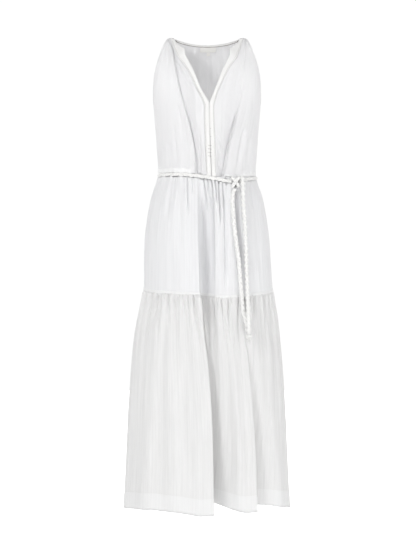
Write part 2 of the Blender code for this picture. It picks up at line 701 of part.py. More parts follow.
def make_lump(name, centre, half, turns, groove, look, rings=8, around=12):
    """Knotted lump: a rounded body with the strands' grooves running round it."""
    points = [(centre[0], centre[1], centre[2] + half[2])]
    for i in range(1, rings):
        polar = math.pi * i / rings
        for j in range(around):
            turn = 2 * math.pi * j / around
            scale = 1.0 - groove * (0.5 + 0.5 * math.cos(2 * turn + turns * polar))
            points.append((centre[0] + half[0] * scale * math.sin(polar) * math.cos(turn),
                           centre[1] + half[1] * scale * math.sin(polar) * math.sin(turn),
                           centre[2] + half[2] * math.cos(polar)))
    points.append((centre[0], centre[1], centre[2] - half[2]))
    foot = len(points) - 1
    faces = []
    for j in range(around):
        k = (j + 1) % around
        faces.append((0, 1 + j, 1 + k))
        faces.append((foot, foot - around + k, foot - around + j))
        for i in range(rings - 2):
            a = 1 + i * around
            faces.append((a + j, a + around + j, a + around + k, a + k))
    return mesh_object(name, points, faces, look)


def make_tail(name, route, end_name):
    """One free end of the belt, with the small knot that closes it."""
    line = rounded_route(route, TAIL_STEP)
    tube(name, line, CORD_COTTON)
    heading = line[-1] - line[-2]
    heading /= np.linalg.norm(heading)
    centre = line[-1] + heading * (END_KNOT_RADIUS + SEAM_GAP)
    half = (END_KNOT_RADIUS, END_KNOT_RADIUS, END_KNOT_RADIUS)
    make_lump(end_name, centre, half, 4.0, 0.10, CORD_COTTON, 6, 10)


def back_surface_y(grid, x, z):
    """Depth of the back's outer side at a place seen from the front."""
    columns = range(grid.shape[1])
    places = [float(np.interp(-z, -grid[:, c, 2], grid[:, c, 0])) for c in columns]
    depths = [float(np.interp(-z, -grid[:, c, 2], grid[:, c, 1])) for c in columns]
    return float(np.interp(x, places, depths))


def make_label(name, outline):
    """Small bare label that lies inside the back of the neck."""
    left, right, top, foot = outline
    grid = back_grid()
    rows = []
    for z in np.linspace(top, foot, 4):
        places = np.linspace(left, right, 5)
        rows.append([(x, back_surface_y(grid, x, z) - WALL - LABEL_CLEAR, z) for x in places])
    return wall_object(name, np.array(rows), LABEL_SATIN, LABEL_WALL)


def build():
    clear_scene()
    make_front(-1, "bodice_front_left", "neck_band_left")
    make_front(1, "bodice_front_right", "neck_band_right")
    make_back()
    tier_levels = [SEAM_Z + (HEM_Z - SEAM_Z) * (r / TIER_ROWS) ** TIER_ROW_CROWDING
                   for r in range(TIER_ROWS + 1)]
    for half_name in ("front", "back"):
        make_rings("skirt_" + half_name, half_name, SKIRT_LEVELS,
                   SKIRT_GATHERS[half_name], SKIRT_GATHER)
        make_rings("tier_" + half_name, half_name, tier_levels,
                   TIER_GATHERS[half_name], TIER_GATHER)
    make_belt()
    make_lump("belt_knot", KNOT_CENTRE, KNOT_HALF, 5.0, 0.12, CORD_COTTON)
    make_tail("belt_tail_right", RIGHT_TAIL, "tail_knot_right")
    make_tail("belt_tail_left", LEFT_TAIL, "tail_knot_left")
    make_label("neck_label", LABEL)
    make_label("size_tab", SIZE_TAB)


build()
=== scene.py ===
import math

import bpy
import numpy as np
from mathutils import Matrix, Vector


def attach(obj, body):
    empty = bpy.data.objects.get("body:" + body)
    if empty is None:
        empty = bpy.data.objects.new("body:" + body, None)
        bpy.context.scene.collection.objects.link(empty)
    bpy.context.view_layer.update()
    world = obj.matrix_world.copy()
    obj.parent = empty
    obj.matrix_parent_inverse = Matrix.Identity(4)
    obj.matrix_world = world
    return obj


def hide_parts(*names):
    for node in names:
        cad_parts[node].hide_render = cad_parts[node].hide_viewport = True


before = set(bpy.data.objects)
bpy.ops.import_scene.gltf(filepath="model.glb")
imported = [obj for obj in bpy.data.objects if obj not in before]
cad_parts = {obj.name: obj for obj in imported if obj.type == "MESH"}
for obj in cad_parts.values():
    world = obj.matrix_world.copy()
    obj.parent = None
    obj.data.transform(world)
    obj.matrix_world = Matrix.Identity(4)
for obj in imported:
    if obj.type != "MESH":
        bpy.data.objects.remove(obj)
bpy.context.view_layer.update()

# Driving sizes, as in the part
CLOTH = 0.0010
BAND_CLOTH_THICK = 0.0021
BAND_PROUD = 0.0009
CORD_DIAMETER = 0.0120
CORD_CLEAR = 0.0024
BELT_PINCH = 0.0105
# The belt presses a trench into the cloth: its depth, where it ends above and below
# the belt's middle, and how far each of its slopes runs
PINCH = 0.0088
PINCH_ABOVE = 0.0026
PINCH_BELOW = 0.0036
PINCH_STEEP = 0.0028
WAIST_Z = -0.389
SEAM_Z = -0.709
HEM_Z = -1.318
HEM_LIFT = 0.026
# How far the wall of a large fold runs before it is at its full depth
FOLD_SHARP = 0.008

# Fine rows and columns of each cloth piece
BODICE_ROWS = 190
BODICE_COLUMNS = 120
BAND_COLUMNS = 12
BACK_COLUMNS = 216
BACK_UPPER_ROWS = 76
BACK_LOWER_ROWS = 64
SKIRT_COLUMNS = {"front": 340, "back": 240}
SKIRT_ROWS = 84
TIER_COLUMNS = {"front": 460, "back": 310}
TIER_ROWS = 92

# Half of the bodice front, as in the part
FRONT_NAMES = ("down", "neck_x", "neck_z", "free_x", "free_z",
               "arm_x", "arm_y", "arm_z", "front", "right")
FRONT = (
    (0.000, -0.1010, -0.0030, -0.0910, -0.0060, -0.1150, 0.000, -0.0110, 0.0000, 0.0000),
    (0.020, -0.0955, -0.0230, -0.0830, -0.0210, -0.1210, -0.018, -0.0240, 0.0220, 0.0000),
    (0.040, -0.0885, -0.0440, -0.0730, -0.0320, -0.1280, -0.033, -0.0440, 0.0430, 0.0000),
    (0.062, -0.0810, -0.0640, -0.0625, -0.0410, -0.1350, -0.043, -0.0660, 0.0640, 0.0020),
    (0.076, -0.0725, -0.0755, -0.0605, -0.0560, -0.1385, -0.047, -0.0790, 0.0730, 0.0030),
    (0.090, -0.0620, -0.0875, -0.0505, -0.0775, -0.1420, -0.050, -0.0920, 0.0810, 0.0040),
    (0.117, -0.0455, -0.1165, -0.0345, -0.1110, -0.1465, -0.050, -0.1170, 0.0950, 0.0050),
    (0.158, -0.0265, -0.1580, -0.0175, -0.1535, -0.1495, -0.041, -0.1550, 0.1070, 0.0060),
    (0.184, -0.0125, -0.1860, -0.0030, -0.1800, -0.1500, -0.027, -0.1790, 0.1125, 0.0105),
    (0.196, -0.0080, -0.1985, 0.0030, -0.1900, -0.1500, -0.015, -0.1895, 0.1145, 0.0122),
    (0.202, -0.0065, -0.2040, 0.0055, -0.1970, -0.1500, 0.000, -0.1945, 0.1160, 0.0125),
    (0.222, -0.0065, -0.2220, 0.0058, -0.2220, -0.1485, 0.000, -0.2140, 0.1175, 0.0125),
    (0.285, -0.0050, -0.2850, 0.0075, -0.2850, -0.1435, 0.000, -0.2750, 0.1160, 0.0165),
    (0.397, -0.0005, -0.3970, 0.0115, -0.3970, -0.1355, 0.000, -0.3890, 0.1030, 0.0245),
)
UNDERARM = 0.202

# Top edge of the back and its binding, from the shoulder to the middle of the neck
BACK_TOP_NAMES = ("along", "x", "y", "z", "free_x", "free_y", "free_z")
BACK_TOP = (
    (0.0, -0.1150, 0.0000, -0.0110, -0.1150, 0.0000, -0.0110),
    (1.0, -0.1030, 0.0000, -0.0036, -0.1030, 0.0000, -0.0036),
    (2.0, -0.0965, 0.0000, -0.0042, -0.0912, 0.0000, -0.0060),
    (3.0, -0.0900, 0.0070, -0.0085, -0.0858, 0.0055, -0.0072),
    (3.8, -0.0830, 0.0130, -0.0118, -0.0800, 0.0117, -0.0085),
    (5.0, -0.0730, 0.0195, -0.0148, -0.0715, 0.0182, -0.0101),
    (7.0, -0.0560, 0.0300, -0.0178, -0.0555, 0.0288, -0.0130),
    (9.4, -0.0300, 0.0435, -0.0204, -0.0300, 0.0423, -0.0155),
    (12.0, 0.0000, 0.0530, -0.0214, 0.0000, 0.0518, -0.0164),
)
BACK_HALF = 12.0
NECK_START = 2.0
BACK_ARM_NAMES = ("down", "x", "y", "z")
BACK_ARM = (
    (0.00, -0.1150, 0.000, -0.0110),
    (0.12, -0.1195, 0.013, -0.0240),
    (0.27, -0.1270, 0.029, -0.0440),
    (0.42, -0.1355, 0.043, -0.0700),
    (0.58, -0.1425, 0.051, -0.1010),
    (0.74, -0.1475, 0.048, -0.1370),
    (0.86, -0.1495, 0.036, -0.1660),
    (0.95, -0.1500, 0.019, -0.1860),
    (1.00, -0.1500, 0.000, -0.1945),
)
ARM_FADE = 4.0
BLADE_BULGE = 0.009
BACK_RING_NAMES = ("z", "half", "back")
BACK_RINGS = (
    (-0.1945, 0.1500, 0.0960), (-0.2140, 0.1485, 0.0960),
    (-0.2750, 0.1435, 0.0940), (-0.3890, 0.1355, 0.0920),
)

# The two big folds of the bodice front: down the panel, distance of the edge from
# the middle, depth behind it
BODICE_FOLD_NAMES = ("down", "x", "depth")
LEFT_FOLD = (
    (0.020, 0.0990, 0.008), (0.090, 0.0900, 0.011), (0.160, 0.0760, 0.012),
    (0.215, 0.0605, 0.012), (0.270, 0.0470, 0.013), (0.320, 0.0360, 0.013), (0.397, 0.0300, 0.010),
)
RIGHT_FOLD = (
    (0.110, 0.1050, 0.000), (0.189, 0.0934, 0.005), (0.247, 0.0769, 0.009),
    (0.288, 0.0654, 0.012), (0.339, 0.0540, 0.014), (0.397, 0.0450, 0.012),
)
BODICE_FOLD_SHARP = 0.0036
BODICE_FOLD_REACH = 0.050
# Narrow groove at the foot of each fold's wall, for the left (-1) and the right (1)
FOLD_GROOVE = {-1: 0.0031, 1: 0.0024}
FOLD_GROOVE_WIDTH = 0.0015

# Rings of the skirt and the tier, as in the part
RING_NAMES = ("z", "half", "front", "back", "dip")
RINGS = (
    (-0.389, 0.1355, 0.1030, 0.0920, 0.008),
    (-0.414, 0.1430, 0.1095, 0.1005, 0.010),
    (-0.445, 0.1540, 0.1160, 0.1110, 0.012),
    (-0.500, 0.1655, 0.1220, 0.1210, 0.014),
    (-0.570, 0.1745, 0.1260, 0.1290, 0.016),
    (-0.640, 0.1790, 0.1290, 0.1340, 0.018),
    (-0.709, 0.1840, 0.1320, 0.1380, 0.019),
    (-0.735, 0.1875, 0.1350, 0.1420, 0.018),
    (-0.790, 0.1975, 0.1420, 0.1500, 0.016),
    (-0.900, 0.2100, 0.1500, 0.1600, 0.012),
    (-1.020, 0.2185, 0.1570, 0.1680, 0.006),
    (-1.160, 0.2250, 0.1620, 0.1730, 0.001),
    (-1.318, 0.2330, 0.1660, 0.1780, 0.000),
)
WAIST_RING = dict(zip(RING_NAMES, RINGS[0]))
FRONT_FOOT = dict(zip(FRONT_NAMES, FRONT[-1]))
FOLD_NAMES = ("z", "x", "depth", "reach", "tuck")
MIDDLE_FOLD = (
    (-0.395, -0.0270, 0.004, 0.045, 0.000),
    (-0.470, -0.0260, 0.014, 0.050, 0.003),
    (-0.600, -0.0230, 0.022, 0.052, 0.005),
    (-0.709, -0.0200, 0.027, 0.055, 0.007),
    (-0.820, -0.0080, 0.028, 0.056, 0.009),
    (-0.930, 0.0040, 0.038, 0.062, 0.010),
    (-1.050, 0.0120, 0.056, 0.070, 0.012),
    (-1.180, 0.0160, 0.080, 0.080, 0.014),
    (-1.318, 0.0175, 0.112, 0.088, 0.016),
)
RIGHT_LOBE = (
    (-0.790, 0.1000, 0.000, 0.050, 0.000),
    (-0.900, 0.1120, 0.010, 0.055, 0.001),
    (-1.000, 0.1220, 0.024, 0.062, 0.004),
    (-1.120, 0.1310, 0.040, 0.072, 0.007),
    (-1.318, 0.1380, 0.058, 0.090, 0.010),
)
FRONT_FOLDS = (MIDDLE_FOLD, RIGHT_LOBE)
HEM_RISE = (
    (-90.0, 0.0000), (-66.0, 0.0050), (-41.0, 0.0105), (-20.0, 0.0070), (-5.0, -0.0010),
    (20.0, 0.0040), (38.0, 0.0070), (55.0, 0.0135), (75.0, 0.0080), (90.0, 0.0000),
)
TROUGH_NAMES = ("half", "top", "angle", "width", "depth")
TROUGHS = (
    ("front", -0.750, -66.0, 0.040, 0.014),
    ("front", -0.800, -34.0, 0.040, 0.010),
    ("back", -0.400, -48.0, 0.050, 0.034),
    ("back", -0.420, -8.0, 0.045, 0.046),
    ("back", -0.400, 34.0, 0.050, 0.038),
    ("back", -0.700, 68.0, 0.038, 0.020),
)

# Belt, as in the part: its height all round, its knot and its two free ends
BELT = (
    (-180.0, -0.3870), (-135.0, -0.3880), (-90.0, -0.3885), (-45.0, -0.3890), (-28.0, -0.3905),
    (-8.0, -0.3960), (4.0, -0.4003), (15.0, -0.4050), (26.0, -0.4095), (34.0, -0.4130),
    (48.0, -0.4040), (64.0, -0.3990), (90.0, -0.3960), (135.0, -0.3890), (180.0, -0.3870),
)
KNOT_LEFT_ANGLE = 29.1
KNOT_RIGHT_ANGLE = 40.0
KNOT_CENTRE = (0.0785, -0.0975, -0.4120)
RIGHT_TAIL = (
    (0.0975, -0.0950, -0.4025), (0.0982, -0.0972, -0.4140), (0.0988, -0.0980, -0.4300),
    (0.0995, -0.1020, -0.4650), (0.1020, -0.1060, -0.5050), (0.1043, -0.1085, -0.5470),
    (0.1060, -0.1105, -0.5900), (0.1073, -0.1120, -0.6310), (0.1090, -0.1140, -0.6740),
    (0.1105, -0.1215, -0.7150), (0.1120, -0.1385, -0.7600), (0.1128, -0.1500, -0.8000),
    (0.1135, -0.1520, -0.8260),
)
LEFT_TAIL = (
    (0.0755, -0.1040, -0.4310), (0.0710, -0.1080, -0.4480), (0.0700, -0.1145, -0.4730),
    (0.0725, -0.1185, -0.5100), (0.0762, -0.1205, -0.5470), (0.0815, -0.1215, -0.5900),
    (0.0871, -0.1220, -0.6310), (0.0905, -0.1230, -0.6740), (0.0938, -0.1250, -0.7150),
    (0.0978, -0.1290, -0.7600), (0.1040, -0.1325, -0.7850), (0.1105, -0.1345, -0.8080),
)
# The right end comes up from behind the belt and turns over it
RIGHT_TAIL_TURN = ((0.0955, -0.0800, -0.4010), (0.0965, -0.0890, -0.4000))

# Soft creases that lie on the big forms, as near-vertical lines seen from the front:
# x and z of the top, x and z of the foot, sideways bend, half width, depth (below
# zero for a ridge) and how steep the left (-1) or right (1) wall is
CREASE_NAMES = ("top_x", "top_z", "foot_x", "foot_z", "bend", "width", "depth", "steep")
BODICE_LEFT_CREASES = (
    (-0.112, -0.020, -0.108, -0.110, 0.002, 0.0035, 0.0016, 0.0),
    (-0.119, -0.016, -0.122, -0.080, 0.000, 0.0030, 0.0014, 0.0),
    (-0.078, -0.205, -0.058, -0.385, 0.004, 0.0050, 0.0030, 1.0),
    (-0.066, -0.230, -0.048, -0.388, 0.003, 0.0045, 0.0026, 1.0),
    (-0.090, -0.260, -0.078, -0.388, 0.000, 0.0050, 0.0022, 1.0),
    (-0.106, -0.300, -0.098, -0.388, 0.000, 0.0060, 0.0022, 0.0),
    (-0.122, -0.310, -0.115, -0.388, 0.000, 0.0050, 0.0018, 0.0),
    (-0.020, -0.290, -0.023, -0.392, 0.002, 0.0030, 0.0024, -1.0),
    (-0.010, -0.325, -0.012, -0.394, 0.001, 0.0025, 0.0022, 0.0),
    (-0.030, -0.335, -0.018, -0.394, -0.002, 0.0028, 0.0020, 0.0),
    (-0.060, -0.120, -0.030, -0.250, 0.003, 0.0120, 0.0030, 0.0),
)
BODICE_RIGHT_CREASES = (
    (0.112, -0.018, 0.106, -0.120, -0.002, 0.0035, 0.0016, 0.0),
    (0.120, -0.014, 0.124, -0.090, 0.000, 0.0030, 0.0014, 0.0),
    (0.0790, -0.225, 0.0455, -0.400, -0.002, 0.0026, 0.0050, 0.0),
    (0.101, -0.270, 0.082, -0.395, -0.003, 0.0060, 0.0056, -1.0),
    (0.118, -0.290, 0.108, -0.392, 0.000, 0.0060, 0.0030, 0.0),
    (0.023, -0.280, 0.046, -0.330, 0.003, 0.0035, 0.0030, 0.0),
    (0.025, -0.312, 0.044, -0.352, 0.002, 0.0030, 0.0026, 0.0),
    (0.028, -0.350, 0.040, -0.388, 0.001, 0.0030, 0.0028, 0.0),
    (0.030, -0.300, 0.034, -0.392, 0.002, 0.0040, 0.0020, 0.0),
    (0.062, -0.100, 0.040, -0.230, -0.003, 0.0120, 0.0030, 0.0),
)
SKIRT_CREASES = (
    (-0.054, -0.396, -0.052, -0.510, 0.000, 0.0024, 0.0100, 1.0),
    (-0.041, -0.398, -0.040, -0.450, 0.000, 0.0020, 0.0050, 0.0),
    (-0.010, -0.400, -0.008, -0.500, 0.001, 0.0026, 0.0120, -1.0),
    (0.002, -0.402, 0.003, -0.455, 0.000, 0.0022, 0.0090, 0.0),
    (0.012, -0.404, 0.016, -0.520, 0.002, 0.0026, 0.0125, -1.0),
    (0.022, -0.406, 0.029, -0.480, 0.001, 0.0024, 0.0110, 0.0),
    (0.032, -0.408, 0.038, -0.540, 0.000, 0.0028, 0.0135, -1.0),
    (0.043, -0.410, 0.047, -0.490, 0.000, 0.0026, 0.0090, -1.0),
    (0.055, -0.412, 0.056, -0.470, 0.000, 0.0030, 0.0045, 0.0),
    (0.027, -0.440, 0.026, -0.700, 0.000, 0.0080, -0.0020, 0.0),
    (0.079, -0.416, 0.104, -0.740, 0.000, 0.0048, 0.0200, 0.0),
    (0.010, -0.440, 0.007, -0.730, 0.000, 0.0060, 0.0110, 0.0),
    (0.046, -0.440, 0.050, -0.740, 0.002, 0.0046, 0.0100, -1.0),
    (0.064, -0.440, 0.068, -0.700, 0.000, 0.0120, -0.0030, 0.0),
    (-0.090, -0.398, -0.094, -0.470, 0.000, 0.0036, 0.0030, 0.0),
    (-0.100, -0.405, -0.112, -0.530, 0.000, 0.0070, 0.0036, 0.0),
    (-0.076, -0.430, -0.074, -0.640, 0.000, 0.0090, 0.0026, 0.0),
    (-0.045, -0.450, -0.042, -0.700, 0.000, 0.0110, 0.0034, 0.0),
    (0.120, -0.405, 0.132, -0.500, 0.000, 0.0060, 0.0030, 0.0),
    (0.140, -0.470, 0.148, -0.690, 0.000, 0.0100, 0.0026, 0.0),
)
TIER_CREASES = (
    (0.008, -0.700, 0.020, -0.860, 0.000, 0.0060, 0.0100, 0.0),
    (0.104, -0.700, 0.113, -0.880, 0.000, 0.0040, 0.0120, 0.0),
    (-0.062, -0.760, -0.070, -1.300, 0.004, 0.0140, 0.0070, 0.0),
    (-0.118, -0.800, -0.132, -1.310, 0.000, 0.0160, 0.0070, 0.0),
    (0.048, -0.760, 0.060, -1.300, 0.003, 0.0130, 0.0060, 0.0),
    (0.160, -0.800, 0.178, -1.300, 0.000, 0.0140, 0.0060, 0.0),
)

# Gathers, as rows of troughs that hang from a seam: how many, depth, length, and the
# share of its place along the seam that each one fills
WAIST_GATHERS = {"front": (18, 0.0034, 0.040, 0.62), "back": (30, 0.0022, 0.045, 0.62)}
TOP_GATHERS = {"front": (6, 0.0012, 0.050, 0.62), "back": (20, 0.0013, 0.040, 0.62)}
SKIRT_GATHERS = {name: ((34, depth, 0.050, 0.62), (15, 0.0030, 0.170, 0.80))
                 for name, depth in (("front", 0.0030), ("back", 0.0060))}
TIER_GATHERS = {name: ((2 * count, 0.0036, 0.028, 0.36), (count, 0.0145, 0.085, 0.30),
                       (21, 0.0080, 0.260, 0.50), (12, 0.0080, 0.800, 0.60))
                for name, count in (("front", 36), ("back", 32))}

# The cloth's own crinkles in three sizes: pitch across and down the cloth, height, and
# how much of the shared wander each one follows
CRINKLES = ((0.0036, 0.085, 0.00042, 1), (0.0075, 0.140, 0.00075, 2), (0.0210, 0.220, 0.00100, 0))
WANDER = 0.0016


# Small helpers

def ease(value):
    """Smooth rise from 0 to 1 while the value goes from 0 to 1."""
    held = np.clip(value, 0.0, 1.0)
    return held * held * (3.0 - 2.0 * held)


def curve_value(keys, values, at):
    """Values of a smooth curve that never overshoots its table."""
    keys, values = np.asarray(keys, float), np.asarray(values, float)
    if keys[0] > keys[-1]:
        keys, values = keys[::-1], values[::-1]
    gaps = np.diff(keys)
    rises = np.diff(values) / gaps
    slope = np.concatenate([rises[:1], np.zeros(len(keys) - 2), rises[-1:]])
    product = rises[:-1] * rises[1:]
    total = np.where(product > 0.0, rises[:-1] + rises[1:], 1.0)
    slope[1:-1] = np.where(product > 0.0, 2.0 * product / total, 0.0)
    at = np.clip(at, keys[0], keys[-1])
    i = np.clip(np.searchsorted(keys, at, side="right") - 1, 0, len(keys) - 2)
    t = (at - keys[i]) / gaps[i]
    start = values[i] * (1 + 2 * t) * (1 - t) ** 2 + slope[i] * gaps[i] * t * (1 - t) ** 2
    end = values[i + 1] * t * t * (3 - 2 * t) + slope[i + 1] * gaps[i] * t * t * (t - 1)
    return start + end


def read_table(table, names, at):
    """Columns of a table at some keys, by name."""
    grid = np.array(table, dtype=float)
    return {name: curve_value(grid[:, 0], grid[:, i], at) for i, name in enumerate(names)}


def read_row(table, names, at):
    """One row of a table at one key, as plain numbers by name."""
    return {name: float(value) for name, value in read_table(table, names, at).items()}


def dome(x, reach):
    return np.sqrt(np.clip(1.0 - (x / reach) ** 2, 0.0, 1.0))


def run_along(line, weight=0.0):
    """Distance of each point of a line from its start, made longer by a weight."""
    steps = np.linalg.norm(np.diff(line, axis=0), axis=1) + weight
    return np.concatenate([[0.0], np.cumsum(steps)])


def points_at(line, run, wanted):
    """Points of a line where its run reaches some values."""
    return np.stack([np.interp(wanted, run, line[:, axis]) for axis in range(3)], axis=1)


def spread(line, count, weight=0.0):
    """Evenly spaced points along a fine line, closer where the weight is high."""
    run = run_along(line, weight)
    return points_at(line, run, np.linspace(0.0, run[-1], count + 1))


def unit(vectors):
    return vectors / np.maximum(np.linalg.norm(vectors, axis=-1, keepdims=True), 1e-12)


def grid_normals(grid):
    """Unit normals of a grid of points, pointing away from the wearer."""
    normal = unit(np.cross(np.gradient(grid, axis=1), np.gradient(grid, axis=0)))
    if np.sum(normal * grid * np.array([1.0, 1.0, 0.0])) < 0.0:
        normal = -normal
    return normal


def noise(u, v, pitch_u, pitch_v, seed):
    """Smooth noise between -1 and 1, whose cells are pitch_u wide and pitch_v tall."""
    random = np.random.default_rng(seed)
    a = (u - u.min()) / pitch_u
    b = (v - v.min()) / pitch_v
    lattice = random.uniform(-1.0, 1.0, (int(a.max()) + 3, int(b.max()) + 3))
    i, j = a.astype(int), b.astype(int)
    s, t = ease(a - i), ease(b - j)
    upper = lattice[i, j] * (1 - s) + lattice[i + 1, j] * s
    lower = lattice[i, j + 1] * (1 - s) + lattice[i + 1, j + 1] * s
    return upper * (1 - t) + lower * t


def crinkle(u, v, seed):
    """The cloth's own long, fine, upright crinkles, as a height in metres."""
    wander = WANDER * noise(u, v, 0.030, 0.090, seed + 7)
    strength = 0.75 + 0.35 * noise(u, v, 0.060, 0.120, seed + 3)
    return strength * sum(high * noise(u + follow * wander, v, across, down, seed + i)
                          for i, (across, down, high, follow) in enumerate(CRINKLES))


def crease_depth(x, z, table):
    """Depth of the soft creases of a table at places seen from the front."""
    depth = np.zeros_like(x)
    for row in table:
        c = dict(zip(CREASE_NAMES, row))
        run = (c["top_z"] - z) / (c["top_z"] - c["foot_z"])
        bent = c["bend"] * 4.0 * run * (1.0 - run)
        centre = c["top_x"] + (c["foot_x"] - c["top_x"]) * run + bent
        q = (x - centre) / (c["width"] * (0.8 + 0.5 * np.clip(run, 0.0, 1.0)))
        steep = np.where(q * c["steep"] > 0.0, 2.2, 1.0)
        ends = ease((run + 0.06) / 0.14) * ease((1.0 - run) / 0.35)
        depth += c["depth"] * ends * np.exp(-(q * steep) ** 2)
    return depth


def gathers(u, fallen, count, depth, reach, narrow, seed):
    """Troughs of cloth gathered into a seam: u runs from 0 to 1 along the seam."""
    random = np.random.default_rng(seed)
    centres = (np.arange(count) + 0.5 + random.uniform(-0.34, 0.34, count)) / count
    lengths = reach * random.uniform(0.30, 1.25, count) ** 1.4
    depths = depth * random.uniform(0.45, 1.15, count)
    widths = narrow * 0.5 / count * random.uniform(0.7, 1.25, count)
    leans = random.uniform(-0.5, 0.5, count) / count
    total = np.zeros_like(u)
    for centre, length, deep, width, lean in zip(centres, lengths, depths, widths, leans):
        share = fallen / length
        middle = centre + lean * np.clip(share, 0.0, 2.0)
        q = (u - middle) / (width * (1.0 + 0.7 * np.clip(share, 0.0, 2.0)))
        total += deep * np.exp(-share ** 1.5) * np.exp(-np.abs(q) ** 1.6)
    return total


def all_gathers(u, fallen, rows, seed):
    """Troughs of all the rows of gathers together."""
    return sum(gathers(u, fallen, *row, seed + i) for i, row in enumerate(rows))


def belt_height(angle):
    return np.interp(angle, *zip(*BELT))


def from_belt(grid, depth):
    """Angle of each point from the middle of the front, and its height above the belt."""
    angle = np.degrees(np.arctan2(grid[..., 0] / WAIST_RING["half"], -grid[..., 1] / depth))
    return angle, grid[..., 2] - belt_height(angle)


def pinched(grid):
    """Press the cloth in along the line where the belt lies."""
    above = from_belt(grid, np.where(grid[..., 1] < 0.0, WAIST_RING["front"], WAIST_RING["back"]))[1]
    over = (above - PINCH_ABOVE) / PINCH_STEEP
    under = (-above - PINCH_BELOW) / PINCH_STEEP
    pressed = PINCH * (1.0 - ease(over)) * (1.0 - ease(under))
    reach = np.linalg.norm(grid[..., :2], axis=-1)
    made = grid.copy()
    made[..., :2] *= (1.0 - pressed / np.maximum(reach, PINCH))[..., None]
    return made


# Materials

def new_material(name, colour, rough, sheen=0.0):
    made = bpy.data.materials.new(name)
    made.use_nodes = True
    shader = made.node_tree.nodes["Principled BSDF"]
    shader.inputs["Base Color"].default_value = (*colour, 1.0)
    shader.inputs["Roughness"].default_value = rough
    shader.inputs["Specular IOR Level"].default_value = 0.25
    shader.inputs["Sheen Weight"].default_value = sheen
    shader.inputs["Sheen Roughness"].default_value = 0.6
    return made, made.node_tree, shader


def add_node(tree, kind, values=None, links=None):
    """Node with its named inputs set, or linked from other nodes' sockets."""
    node = tree.nodes.new(kind)
    for name, value in (values or {}).items():
        node.inputs[name].default_value = value
    for name, socket in (links or {}).items():
        tree.links.new(socket, node.inputs[name])
    return node


def stretched_noise(tree, places, scale, detail):
    """Noise read from UVs in metres, scaled by its own number each way."""
    mapping = add_node(tree, "ShaderNodeMapping", {"Scale": (*scale, 1.0)}, {"Vector": places})
    return add_node(tree, "ShaderNodeTexNoise", {"Scale": 1.0, "Detail": detail, "Roughness": 0.55},
                    {"Vector": mapping.outputs["Vector"]}).outputs["Fac"]


def combine(tree, operation, first, second):
    node = tree.nodes.new("ShaderNodeMath")
    node.operation = operation
    for slot, value in zip(node.inputs, (first, second)):
        if isinstance(value, (int, float)):
            slot.default_value = value
        else:
            tree.links.new(value, slot)
    return node.outputs[0]


def threads(tree, places, pitch):
    """Fine plain weave: threads both ways, as a height from 0 to 1."""
    waves = []
    for direction, across in (("X", 1.0), ("Y", 0.85)):
        node = add_node(tree, "ShaderNodeTexWave",
                        {"Scale": across * 0.314 / pitch, "Distortion": 1.2, "Detail": 1.0},
                        {"Vector": places})
        node.wave_type = "BANDS"
        node.bands_direction = direction
        waves.append(node.outputs["Fac"])
    return combine(tree, "MAXIMUM", *waves)


def tint(tree, shader, factor, dark, light):
    """Colour that varies a little with a factor."""
    ramp = tree.nodes.new("ShaderNodeValToRGB")
    ramp.color_ramp.elements[0].position = 0.30
    ramp.color_ramp.elements[1].position = 0.70
    ramp.color_ramp.elements[0].color = (*dark, 1.0)
    ramp.color_ramp.elements[1].color = (*light, 1.0)
    tree.links.new(factor, ramp.inputs["Fac"])
    tree.links.new(ramp.outputs["Color"], shader.inputs["Base Color"])


def bump(tree, shader, height, distance):
    node = add_node(tree, "ShaderNodeBump", {"Strength": 1.0, "Distance": distance},
                    {"Height": height})
    tree.links.new(node.outputs["Normal"], shader.inputs["Normal"])


# Scales of the gauze's crinkles and streaks across and along the cloth, pitch of its
# threads, their height beside the crinkles', and the height of both
CRINKLE_SCALE = (420.0, 16.0)
STREAK_SCALE = (190.0, 5.0)
WEAVE_PITCH = 0.0011
WEAVE_SHARE = 0.16
GAUZE_BUMP = 0.0013


def gauze_material(name, dark, light, crinkles, sheer=0.20, reach=0.003):
    """Crinkled double gauze: upright crinkles over an open plain weave."""
    made, tree, shader = new_material(name, light, 0.9, 0.15)
    shader.inputs["Subsurface Weight"].default_value = sheer
    shader.inputs["Subsurface Radius"].default_value = (1.0, 1.0, 1.0)
    shader.inputs["Subsurface Scale"].default_value = reach
    places = add_node(tree, "ShaderNodeUVMap").outputs["UV"]
    upright = stretched_noise(tree, places, CRINKLE_SCALE, 3.0)
    weave = threads(tree, places, WEAVE_PITCH)
    height = combine(tree, "ADD",
                     combine(tree, "MULTIPLY", upright, crinkles),
                     combine(tree, "MULTIPLY", weave, WEAVE_SHARE))
    bump(tree, shader, height, GAUZE_BUMP)
    tint(tree, shader, stretched_noise(tree, places, STREAK_SCALE, 2.0), dark, light)
    return made


def cord_material():
    """Braided cotton: fine yarns along each strand."""
    made, tree, shader = new_material("cord_cotton_braided", (0.915, 0.912, 0.896), 0.85, 0.2)
    places = add_node(tree, "ShaderNodeUVMap").outputs["UV"]
    yarns = stretched_noise(tree, places, (2600.0, 260.0), 2.0)
    bump(tree, shader, yarns, 0.0006)
    tint(tree, shader, yarns, (0.900, 0.898, 0.884), (0.950, 0.948, 0.937))
    return made


def satin_material():
    made, tree, shader = new_material("label_satin_weave", (0.97, 0.96, 0.93), 0.42, 0.1)
    places = add_node(tree, "ShaderNodeUVMap").outputs["UV"]
    bump(tree, shader, threads(tree, places, 0.0005), 0.0001)
    return made


def thread_material(name, colour):
    return new_material(name, colour, 0.7)[0]


